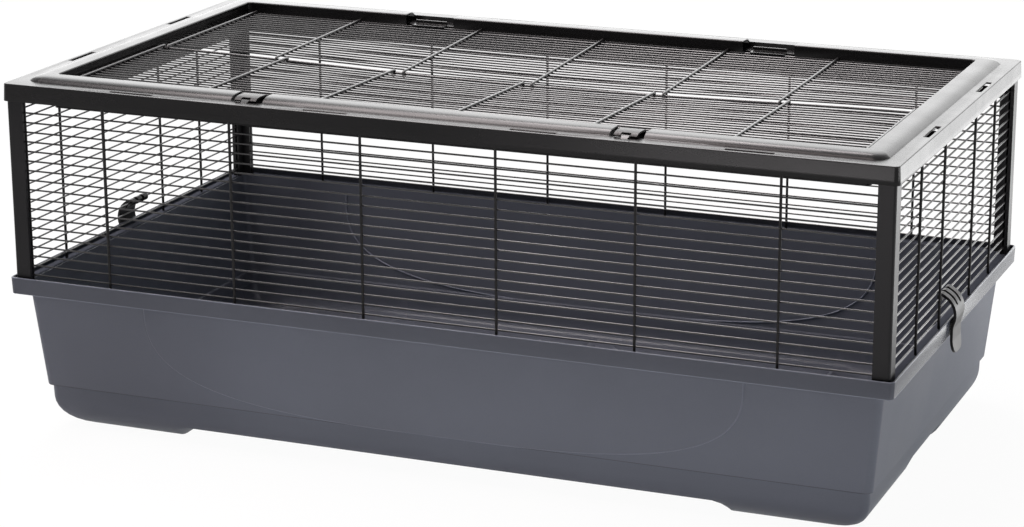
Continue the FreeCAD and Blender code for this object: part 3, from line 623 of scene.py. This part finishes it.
def boat_fields():
    """Boat-shaped field on each long wall, raised outside with its border lightened by a painted highlight, and a
    thin rib along it inside, lightened by a painted highlight too.

    The border is the lower half of a superellipse, drawn in to its middle. Rows of points follow it inwards.
    """
    turn = np.linspace(-np.pi / 2, np.pi / 2, BOAT_STEPS)
    across = BOAT_HALF * np.sign(turn) * np.abs(np.sin(turn)) ** (2 / BOAT_POWER)
    down = BOAT_DEPTH * np.abs(np.cos(turn)) ** (2 / BOAT_POWER)
    top = SKIRT_BOTTOM + RIM_SOFT
    inset, proud, rib, reach, border = BOAT_ROWS.T[:, :, None]
    inset, proud, rib = inset * BOAT_EDGE, proud * BOAT_PROUD, rib * BOAT_PROUD
    x = across * (1 - inset / BOAT_HALF) * (BOAT_CORE + (1 - BOAT_CORE) * reach)
    z = np.maximum(top - down * (1 - inset / BOAT_DEPTH) * reach, STEP_HEIGHT + STEP_SOFT)
    lean = WALL_DRAW[1] * (CHANNEL_FLOOR - z) / (CHANNEL_FLOOR - STEP_HEIGHT)
    wall = RIM_HY - WALL_INSET - lean
    quads = grid_quads(*x.shape)
    for name, side in (("front", -1), ("back", 1)):
        for face, y, order, tone in (("field", wall + proud, side, BOAT_PAINTED_HIGHLIGHT),
                                     ("rib", wall - WALL - rib, -side, RIB_PAINTED_HIGHLIGHT)):
            points = placed(x, side * y, z).reshape(-1, 3)
            piece = make_piece(name + "_boat_" + face, points, [quads[:, :, ::order]], "base", "tub_plastic",
                               TUB_PLASTIC)
            # Painted highlight on the field's border and on the rib, in the share that the rows give
            mark_points(piece, "tone", tone * np.broadcast_to(border, x.shape))
            thicken(piece, BOAT_SHEET, -1)


def frame_rows():
    """Outer skin of the frame's moulding as (rows, 2): inset from the outer face, and height."""
    arc = np.linspace(0, np.pi / 2, EDGE_STEPS)
    fascia = np.linspace((-FLARE, FASCIA_BOTTOM), (0, LEDGE_TOP - LEDGE_EDGE), FASCIA_STEPS)
    edge = np.stack([LEDGE_EDGE * (1 - np.cos(arc)), LEDGE_TOP - LEDGE_EDGE * (1 - np.sin(arc))], axis=1)
    ledge = np.array([(inset, LEDGE_TOP) for inset in LEDGE_ROWS])
    across = np.linspace(0, 1, BEAD_STEPS) ** BEAD_CROWDING
    crown = WELL_INSET - INNER_EDGE
    bead = np.stack([LEDGE_WIDTH + (crown - LEDGE_WIDTH) * across,
                     LEDGE_TOP + (BEAD_TOP - LEDGE_TOP) * (1 - (1 - across) ** BEAD_POWER)], axis=1)
    inner = np.stack([crown + INNER_EDGE * np.sin(arc), BEAD_TOP - INNER_EDGE * (1 - np.cos(arc))], axis=1)
    lip_top = box_corner("roof_door_bars", 0)[2]
    wall = np.array([(WELL_INSET, lip_top), (WELL_INSET + ROOF_LIP, lip_top)])
    return np.concatenate([fascia[:-1], edge, ledge, bead, inner[1:], wall])


def side_stops(slots, notches, notch_half):
    """Places along one side where slots and notches begin and end, and which of them stand inside a notch.

    A notch has two stops at each of its ends, one on the bead and one on the floor of the notch.
    """
    stops = [(s + end * SLOT_HALF, 0, False) for s in slots for end in (-1, 1)]
    for n in notches:
        stops += [(n - notch_half, 0, False), (n - notch_half, 1, True), (n + notch_half, 0, True),
                  (n + notch_half, 1, False)]
    stops.sort()
    return np.array([s[0] for s in stops]), np.array([s[2] for s in stops])


def top_frame():
    """Frame moulding carried round the cage as one sheet, with open slots, sunk notches and open bead ends."""
    rows = frame_rows()
    inset, height = rows[:, :1], rows[:, 1:]
    corner = np.interp(inset, CORNER_INSETS, CORNER_RADII)
    arc = np.linspace(0, np.pi / 2, CORNER_STEPS + 1)[1:-1]
    slot_row = np.isclose(rows[:-1, 0], SLOT_ROWS[0])
    sides = [(LONG_SLOTS, NOTCHES, FRONT_NOTCH_HALF), (SHORT_SLOTS, (), 0), (LONG_SLOTS, NOTCHES, BACK_NOTCH_HALF),
             (SHORT_SLOTS, (), 0)]
    strips, opened, cut = [], [], []
    for turn, (slots, notches, notch_half) in enumerate(sides):
        stops, sunk = side_stops(slots, notches, notch_half)
        along_half, out_half = [(FRAME_HX, FRAME_HY), (FRAME_HY, FRAME_HX)][turn % 2]
        deep = np.where(sunk, np.minimum(inset, WEB_INSET), inset)
        level = np.where(sunk & (inset > LEDGE_WIDTH), LEDGE_TOP - NOTCH_SINK, height)
        end = along_half - inset - corner
        along = np.concatenate([-end, np.broadcast_to(stops, deep.shape), end, end + corner * np.sin(arc)], axis=1)
        bend = out_half - inset - corner + corner * np.cos(arc)
        across = np.concatenate([out_half - inset, out_half - deep, out_half - inset, bend], axis=1)
        level = np.concatenate([height, level, np.repeat(height, 1 + len(arc), axis=1)], axis=1)
        x, y = [(along, -across), (across, along), (-along, across), (-across, -along)][turn]
        strips.append(placed(x, y, level))
        middle = np.concatenate([[np.inf], (stops[:-1] + stops[1:]) / 2, np.full(2 + len(arc), np.inf)])
        opened.append(np.abs(middle[:, None] - np.array(slots)).min(axis=1) < SLOT_HALF)
        cut.append(np.concatenate([[False], sunk[1:] != sunk[:-1], np.full(2 + len(arc), False)]))
    points = np.concatenate(strips, axis=1)
    keep = ~(slot_row[:, None] & np.concatenate(opened))
    keep &= ~((rows[1:, :1] > LEDGE_WIDTH) & np.concatenate(cut))
    quads = grid_quads(*points.shape[:2], True)[keep]
    piece = make_piece("frame_moulding", points.reshape(-1, 3), [quads], "cage_top", "frame_plastic", FRAME_PLASTIC,
                       weld=JOIN_GAP)
    thicken(piece, FRAME_WALL, -1)
    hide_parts("top_frame")


def inner_wall():
    """Plain wall that hangs inside the frame all round, behind the lip that carries the roof."""
    inset = WEB_INSET + FRAME_WALL
    rows = np.array([[FASCIA_BOTTOM - INNER_WALL_BELOW], [LEDGE_TOP - NOTCH_SINK - 2 * FRAME_WALL]])
    size = np.ones((2, 1))
    no_stops = np.zeros(0)
    points = around((FRAME_HX - inset) * size, (FRAME_HY - inset) * size, INNER_WALL_CORNER * size, rows, no_stops,
                    no_stops)
    quads = grid_quads(*points.shape[:2], True)[:, :, ::-1]
    piece = make_piece("frame_inner_wall", points.reshape(-1, 3), [quads], "cage_top", "frame_plastic", FRAME_PLASTIC)
    thicken(piece, FRAME_WALL, -1)


def slot_hooks():
    """Small blocks under the ledge's slots, which hook over the panels' top bars: one box for each slot, in a darker,
    glossless plastic that paints shade into the slots.
    """
    corner = np.array([(x, y, z) for z in (-1, 1) for x, y in ((-1, -1), (1, -1), (1, 1), (-1, 1))])
    sides = np.array([(3, 2, 1, 0), (4, 5, 6, 7), (0, 1, 5, 4), (1, 2, 6, 5), (2, 3, 7, 6), (3, 0, 4, 7)])
    across = FRAME_WALL + HOOK_HALF[1]
    boxes = []
    for turn in range(4):
        out_half = (FRAME_HY, FRAME_HX)[turn % 2]
        for slot in (LONG_SLOTS, SHORT_SLOTS)[turn % 2]:
            block = corner * HOOK_HALF + (slot - SLOT_HALF + HOOK_HALF[0], across - out_half, HOOK_Z)
            swing = math.pi / 2 * turn
            right, ahead = math.cos(swing), math.sin(swing)
            spin = np.array([(right, ahead, 0), (-ahead, right, 0), (0, 0, 1)])
            boxes.append((block @ spin, [sides]))
    points, faces = joined(boxes)
    make_piece("slot_hooks", points, faces, "cage_top", "frame_plastic", HOOK_SHADE_PLASTIC)


def strip_path(start, heading, moves, spacing=1.0):
    """Centre line of a bent strip as (stations, 2), from moves ("line", length) and ("arc", radius, degrees).

    Positive degrees turn left.
    """
    points = [np.array(start, float)[None]]
    angle = math.radians(heading)
    for move in moves:
        here = points[-1][-1]
        if move[0] == "line":
            count = max(2, int(abs(move[1]) / spacing) + 1)
            part = np.linspace(0, move[1], count)[1:, None]
            points.append(here + part * np.array([math.cos(angle), math.sin(angle)]))
            continue
        radius, turn = move[1], math.radians(move[2])
        count = max(ARC_LEAST, int(abs(move[2]) / ARC_STEP) + 2)
        swing = angle + np.linspace(0, turn, count)[1:]
        bow = np.stack([np.sin(swing) - math.sin(angle), math.cos(angle) - np.cos(swing)], axis=1)
        points.append(here + math.copysign(radius, turn) * bow)
        angle += turn
    return np.concatenate(points)


def curl_start(radius, end_angle, turn):
    """Start point and heading of a clockwise curl round a bar that ends at an angle."""
    angle = math.radians(end_angle + turn)
    return (radius * math.cos(angle), radius * math.sin(angle)), end_angle + turn - 90


def side_clip(name, body, sign):
    """Side clip: three curled fingers on a bar of the end panel, a bulge over the lip and a rounded tongue."""
    low, high = box_corner(name, 0), box_corner(name, 1)
    place = (low[1] + high[1]) / 2
    bar = box_corner("right_panel_bars", 0), box_corner("right_panel_bars", 1)
    bar_x = (bar[0][0] + bar[1][0]) / 2
    pivot_z = high[2] - SIDE_CURL - SIDE_CLIP_THICK / 2
    hook, back = math.radians(SIDE_CLIP_HOOK_END), math.radians(SIDE_RETURN)
    face = RIM_HX - bar_x + SIDE_GAP + SIDE_CLIP_THICK / 2
    crest = face + (SIDE_BULGE + SIDE_WAIST) * (1 - math.cos(back))
    slant = (crest - SIDE_CURL * math.cos(hook) - SIDE_BULGE * (1 - math.cos(hook))) / math.sin(hook)
    down = slant * math.cos(hook) + (SIDE_BULGE - SIDE_CURL) * math.sin(hook)
    down += (SIDE_BULGE + SIDE_WAIST) * math.sin(back)
    straight = pivot_z - SKIRT_BOTTOM + TONGUE_BELOW - down
    moves = [("arc", SIDE_CURL, -SIDE_CLIP_CURL), ("line", slant),
             ("arc", SIDE_BULGE, -SIDE_CLIP_HOOK_END - SIDE_RETURN), ("arc", SIDE_WAIST, SIDE_RETURN),
             ("line", straight), ("arc", *TONGUE_FLARE), ("line", TONGUE_TIP)]
    path = strip_path(*curl_start(SIDE_CURL, SIDE_CLIP_HOOK_END, SIDE_CLIP_CURL), moves)
    left_over = np.concatenate([np.cumsum(np.linalg.norm(np.diff(path, axis=0), axis=1)[::-1])[::-1], [0]])
    short = np.clip(TONGUE_TIP_RADIUS - left_over, 0, None)
    width = SIDE_CLIP_HALF - TONGUE_TIP_RADIUS + np.sqrt(TONGUE_TIP_RADIUS ** 2 - short ** 2)
    edges = np.array([-SIDE_CLIP_HALF, -FINGER_EDGES[1], -FINGER_EDGES[0], FINGER_EDGES[0], FINGER_EDGES[1],
                      SIDE_CLIP_HALF])
    across = edges * width[:, None] / SIDE_CLIP_HALF
    points = placed(sign * (bar_x + path[:, :1]), place + across, pivot_z + path[:, 1:])
    finger_gap = (path[:-1, 1:] > -FINGER_LENGTH) & np.array([False, True, False, True, False])
    quads = grid_quads(*points.shape[:2])[~finger_gap]
    piece = make_piece(name + "_strip", points.reshape(-1, 3), [quads[:, ::-int(sign)]], body, "clip_plastic",
                       CLIP_PLASTIC)
    thicken(piece, SIDE_CLIP_THICK, 0, SIDE_CLIP_SOFT)
    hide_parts(name)


def roof_clip(name, body):
    """Roof clip: a curl on the door's front bar, a climb over the notch, an arched plate and a nose with a window."""
    low, high = box_corner(name, 0), box_corner(name, 1)
    place = (low[0] + high[0]) / 2
    bars = box_corner("roof_door_bars", 0), box_corner("roof_door_bars", 1)
    bar_y, bar_z = bars[0][1] + BAR_RADIUS, (bars[0][2] + bars[1][2]) / 2
    bend, climb, crown = ROOF_CLIP_BEND, math.radians(ROOF_CLIP_CLIMB), math.radians(ROOF_CLIP_CROWN)
    plate = BEAD_TOP - bar_z - ROOF_CLIP_THICK / 2
    nose = FRAME_HY - LEDGE_WIDTH + ROOF_CLIP_REACH + bar_y
    foot = LEDGE_TOP - bar_z + ROOF_CLIP_CLEAR + ROOF_CLIP_THICK / 2
    dip = math.acos(1 - (plate - foot) / ROOF_CLIP_NOSE)
    arch = (nose - ROOF_CLIP_NOSE * math.sin(dip) - 2 * bend * math.sin(climb)) / 2 / math.sin(crown)
    rise = plate - arch * (1 - math.cos(crown)) - ROOF_CURL - bend * (1 + math.cos(crown) - 2 * math.cos(climb))
    moves = [("arc", ROOF_CURL, -ROOF_CLIP_CURL), ("arc", bend, ROOF_CLIP_CLIMB), ("line", rise / math.sin(climb)),
             ("arc", bend, ROOF_CLIP_CROWN - ROOF_CLIP_CLIMB), ("arc", arch, -ROOF_CLIP_CROWN),
             ("arc", arch * ROOF_CLIP_SHARE, -ROOF_CLIP_CROWN),
             ("arc", ROOF_CLIP_NOSE, ROOF_CLIP_CROWN - math.degrees(dip))]
    path = strip_path(*curl_start(ROOF_CURL, ROOF_CLIP_HOOK_END, ROOF_CLIP_CURL), moves)
    across = np.array([-ROOF_CLIP_HALF, -ROOF_CLIP_WINDOW, ROOF_CLIP_WINDOW, ROOF_CLIP_HALF])
    points = placed(place + across, bar_y - path[:, :1], bar_z + path[:, 1:])
    in_nose = path[:-1, :1] > path[-1, 0] - ROOF_CLIP_NOSE * math.sin(dip) + ROOF_CLIP_LINTEL
    quads = grid_quads(*points.shape[:2])[~(in_nose & np.array([False, True, False]))]
    piece = make_piece(name + "_strip", points.reshape(-1, 3), [quads], body, "clip_plastic", CLIP_PLASTIC)
    thicken(piece, ROOF_CLIP_THICK, 0, ROOF_CLIP_SOFT)
    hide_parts(name)


def clip_catches():
    """Two wedges on the front ledge, in the roof clips' windows: a ramp up to the back, wider at its top."""
    front, back, end = [LEDGE_WIDTH - ROOF_CLIP_REACH + run for run in CATCH_RUN]
    narrow, wide = CATCH_HALF
    top = LEDGE_TOP + CATCH_RISE
    root = LEDGE_TOP - FRAME_WALL / 2
    outline = np.array([(narrow, front, root), (narrow, front, LEDGE_TOP), (wide, back, top), (wide, end, top),
                        (wide, end, root)])
    points = outline[None] * np.array([(-1, 1, 1), (1, 1, 1)])[:, None] - (0, FRAME_HY, 0)
    count = len(outline)
    sides = np.arange(count)
    after = np.roll(sides, -1)
    walls = np.stack([sides, count + sides, count + after, after], axis=1)
    wedge = points.reshape(-1, 3), [walls, np.stack([sides, count + sides[::-1]])]
    shape = joined([(wedge[0] + (notch, 0, 0), wedge[1]) for notch in NOTCHES])
    make_piece("clip_catches", *shape, "cage_top", "frame_plastic", FRAME_PLASTIC, weld=FINE_JOIN_GAP)


def back_tongues():
    """Two tongues behind the back notches, bent down from the ledge and forward over the rear panel's last bar."""
    bars = box_corner("roof_rear_bars", 1)
    seat = bars[2] + FRAME_WALL / 2
    root = FRAME_HY - WEB_INSET + FRAME_WALL / 2
    start = LEDGE_TOP - FRAME_WALL / 2
    moves = [("line", start - seat - TONGUE_BEND), ("arc", TONGUE_BEND, -90),
             ("line", root - TONGUE_BEND - TONGUE_TIP_Y)]
    path = strip_path((root, start), -90, moves)
    for name, place in zip(("left", "right"), NOTCHES):
        points = placed(place + np.array([-TONGUE_HALF, TONGUE_HALF]), path[:, :1], path[:, 1:])
        piece = make_piece("back_tongue_" + name, points.reshape(-1, 3), [grid_quads(*points.shape[:2])], "cage_top",
                           "frame_plastic", FRAME_PLASTIC)
        thicken(piece, FRAME_WALL, 0, TONGUE_SOFT)


def crossings(first, second):
    """Every pairing of two lists of places, as two flat arrays."""
    one, two = np.meshgrid(first, second, indexing="ij")
    return one.ravel(), two.ravel()


def straight_wires(start, end):
    """Two-station paths between start and end points given as coordinates that broadcast together."""
    return np.stack([placed(*start), placed(*end)], axis=1)


def wall_panel(side, places, along_x):
    """One welded wall panel: level bars, uprights on their outside and a weld at every crossing; the uprights and
    welds take a darker, duller coat than the bars as painted shade.
    """
    bar_low, bar_high = box_corner(side + "_panel_bars", 0), box_corner(side + "_panel_bars", 1)
    rod_low, rod_high = box_corner(side + "_panel_uprights", 0), box_corner(side + "_panel_uprights", 1)
    heights = np.linspace(bar_low[2] + BAR_RADIUS, bar_high[2] - BAR_RADIUS, BARS)
    depth = 1 if along_x else 0
    bar_at = (bar_low + bar_high)[depth] / 2
    rod_at = (rod_low + rod_high)[depth] / 2
    weld_place, weld_height = crossings(places, heights)
    ends = bar_low[1 - depth], bar_high[1 - depth]
    level = straight_wires((ends[0] + 0 * heights, bar_at, heights), (ends[1] + 0 * heights, bar_at, heights))
    upright = straight_wires((places, rod_at, rod_low[2]), (places, rod_at, rod_high[2]))
    welds = placed(weld_place, (bar_at + rod_at) / 2, weld_height)
    if not along_x:
        level, upright, welds = [points[..., [1, 0, 2]] for points in (level, upright, welds)]
    points, faces = round_wires(level, BAR_RADIUS, (0, 0, 1), BAR_SIDES)
    bars = make_piece(side + "_bars", points, faces, "cage_top", "wire", WIRE_COAT)
    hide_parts(side + "_panel_bars")
    points, faces = joined([round_wires(upright, UPRIGHT_RADIUS, (1, 0, 0), UPRIGHT_SIDES), weld_beads(welds)])
    rods = make_piece(side + "_rods", points, faces, "cage_top", "wire", ROD_SHADED_COAT)
    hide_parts(side + "_panel_uprights")


def roof_drop(x, y):
    """How far the slack roof hangs at a place: most in the middle, nothing at its edges."""
    reach_x, reach_y = ROOF_REACH
    return ROOF_SAG * (1 - np.minimum(np.abs(x) / reach_x, 1) ** 2) ** 2 * (1 - np.minimum(np.abs(y) / reach_y, 1))


def hung(points):
    """The same points let down by the roof's slack."""
    return points - roof_drop(points[..., 0], points[..., 1])[..., None] * np.array([0, 0, 1])


def roof_panel(name, places, toward):
    """Bars, cross wires with curled eyes and welds of one roof panel; toward is -1 for the front, 1 for the back."""
    low, high = box_corner("roof_" + name + "_bars", 0), box_corner("roof_" + name + "_bars", 1)
    inner, outer = sorted((abs(low[1]), abs(high[1])))
    rows = toward * np.linspace(outer - BAR_RADIUS, inner + BAR_RADIUS, ROOF_BARS)
    bar_z = (low[2] + high[2]) / 2
    wire_z = HINGE_Z + EYE_RADIUS
    level = placed(np.linspace(low[0], high[0], ROOF_BAR_STATIONS), rows[:, None], bar_z)
    runs = np.linspace(outer, 0, CROSS_STATIONS)[:-1]
    turn = np.radians(np.linspace(0, EYE_TURN, EYE_STATIONS))
    path_y = toward * np.concatenate([runs, -EYE_RADIUS * np.sin(turn)])
    path_z = np.concatenate([np.full(len(runs), wire_z), HINGE_Z + EYE_RADIUS * np.cos(turn)])
    hang_y = np.where(np.arange(len(path_y)) < len(runs), path_y, 0)
    cross = placed(places[:, None], path_y, path_z - roof_drop(places[:, None], hang_y))
    weld_x, weld_y = crossings(places, rows)
    welds = hung(placed(weld_x, weld_y, (bar_z + wire_z) / 2))
    bars = round_wires(hung(level), BAR_RADIUS, (0, 1, 0), BAR_SIDES)
    return bars, joined([round_wires(cross, UPRIGHT_RADIUS, (1, 0, 0), ROOF_WIRE_SIDES), weld_beads(welds)])


def roof():
    """Rear panel with the hinge wire, and the door, whose bars and cross wires are left attached to no body."""
    low, high = box_corner("roof_hinge_wire", 0), box_corner("roof_hinge_wire", 1)
    wire = hung(placed(np.linspace(low[0], high[0], ROOF_BAR_STATIONS), 0.0, HINGE_Z))[None]
    hinge = round_wires(wire, UPRIGHT_RADIUS, (0, 1, 0), ROOF_WIRE_SIDES)
    bars, rods = roof_panel("rear", REAR_WIRES, 1)
    piece = make_piece("roof_rear_level", *bars, "cage_top", "wire", WIRE_COAT)
    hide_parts("roof_rear_bars")
    piece = make_piece("roof_rear_rods", *joined([rods, hinge]), "cage_top", "wire", WIRE_COAT)
    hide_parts("roof_rear_cross_wires")
    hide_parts("roof_hinge_wire")
    bars, rods = roof_panel("door", DOOR_WIRES, -1)
    for name, shape, node_name in (("roof_door_level", bars, "roof_door_bars"),
                                   ("roof_door_rods", rods, "roof_door_cross_wires")):
        piece = make_piece(name, *shape, None, "wire", WIRE_COAT)
        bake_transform(piece)
        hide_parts(node_name)


def stage_floor():
    """Pale floor that shows as near white, keeps the object's shadow and throws light back on the walls."""
    mesh = bpy.data.meshes.new("floor")
    edge = np.array([[-1, -1, 0], [1, -1, 0], [1, 1, 0], [-1, 1, 0]]) * FLOOR_REACH
    mesh.from_pydata(edge.tolist(), [], [(0, 1, 2, 3)])
    floor = bpy.data.objects.new("floor", mesh)
    bpy.context.scene.collection.objects.link(floor)
    material = bpy.data.materials.new("pale_floor")
    material.use_nodes = True
    nodes, links = material.node_tree.nodes, material.node_tree.links
    nodes.remove(nodes["Principled BSDF"])
    matt = nodes.new("ShaderNodeBsdfDiffuse")
    matt.inputs["Color"].default_value = (FLOOR_GREY, FLOOR_GREY, FLOOR_GREY, 1)
    white = nodes.new("ShaderNodeEmission")
    white.inputs["Strength"].default_value = 1.0
    blend = nodes.new("ShaderNodeMixShader")
    links.new(spread(nodes, links, sees_white(nodes, links), 0.0, FLOOR_WHITE, 0, 1), blend.inputs["Fac"])
    links.new(matt.outputs["BSDF"], blend.inputs[1])
    links.new(white.outputs["Emission"], blend.inputs[2])
    links.new(blend.outputs["Shader"], nodes["Material Output"].inputs["Surface"])
    mesh.materials.append(material)


def sees_white(nodes, links):
    """1 for rays from the camera, off a gloss or through glass, which see the white studio, else 0."""
    rays = nodes.new("ShaderNodeLightPath")
    total = rays.outputs["Is Camera Ray"]
    for name in ("Is Glossy Ray", "Is Transmission Ray"):
        either = nodes.new("ShaderNodeMath")
        either.operation = "MAXIMUM"
        links.new(total, either.inputs[0])
        links.new(rays.outputs[name], either.inputs[1])
        total = either.outputs[0]
    return total


def stage_world():
    """White surround for what sees it directly, and a softer level for the light that it gives."""
    world = bpy.data.worlds.new("studio")
    bpy.context.scene.world = world
    world.use_nodes = True
    nodes, links = world.node_tree.nodes, world.node_tree.links
    surround = nodes["Background"]
    surround.inputs["Color"].default_value = (1, 1, 1, 1)
    links.new(spread(nodes, links, sees_white(nodes, links), WORLD_LIGHT, 1.0, 0, 1), surround.inputs["Strength"])


def soft_box(name, place, aim, size, power, colour):
    """Rectangular studio lamp at a place, turned to a point. The camera doesn't see it."""
    lamp = bpy.data.lights.new(name, "AREA")
    lamp.shape = "RECTANGLE"
    lamp.size, lamp.size_y = size
    lamp.energy = power
    lamp.color = colour
    holder = bpy.data.objects.new(name, lamp)
    bpy.context.scene.collection.objects.link(holder)
    back = np.array(place, float) - np.array(aim, float)
    back /= np.linalg.norm(back)
    right = np.cross((0, 0, 1), back)
    right /= np.linalg.norm(right)
    up = np.cross(back, right)
    turn = Matrix([(*row, 0) for row in np.stack([right, up, back], axis=1)] + [(0, 0, 0, 1)])
    holder.matrix_world = Matrix.Translation(place) @ turn
    holder.visible_camera = False


def stage_camera():
    """Camera at the photograph's place and angle."""
    data = bpy.data.cameras.new("camera")
    data.lens = CAMERA_LENS
    data.sensor_width = CAMERA_SENSOR
    data.shift_x, data.shift_y = CAMERA_SHIFT
    camera = bpy.data.objects.new("camera", data)
    bpy.context.scene.collection.objects.link(camera)
    turn = Matrix([(*row, 0) for row in zip(CAMERA_RIGHT, CAMERA_UP, CAMERA_BACK)] + [(0, 0, 0, 1)])
    camera.matrix_world = Matrix.Translation(CAMERA_PLACE) @ turn
    bpy.context.scene.camera = camera


tub()
boat_fields()
top_frame()
inner_wall()
slot_hooks()
clip_catches()
back_tongues()
for side_name in ("front", "back"):
    wall_panel(side_name, LONG_UPRIGHTS, True)
wall_panel("left", -SHORT_UPRIGHTS, False)
wall_panel("right", SHORT_UPRIGHTS, False)
roof()
for side_name, side_sign in (("left", -1), ("right", 1)):
    side_clip("side_clip_" + side_name, "side_latch_" + side_name, side_sign)
    roof_clip("roof_clip_" + side_name, "roof_latch_" + side_name)
for node_name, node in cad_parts.items():
    if node_name.startswith("post"):
        node.data.materials.clear()
        node.data.materials.append(POST_PLASTIC)

bpy.context.scene.view_settings.view_transform = "Standard"
stage_camera()
stage_world()
stage_floor()
for lamp_facts in LAMPS:
    soft_box(*lamp_facts)
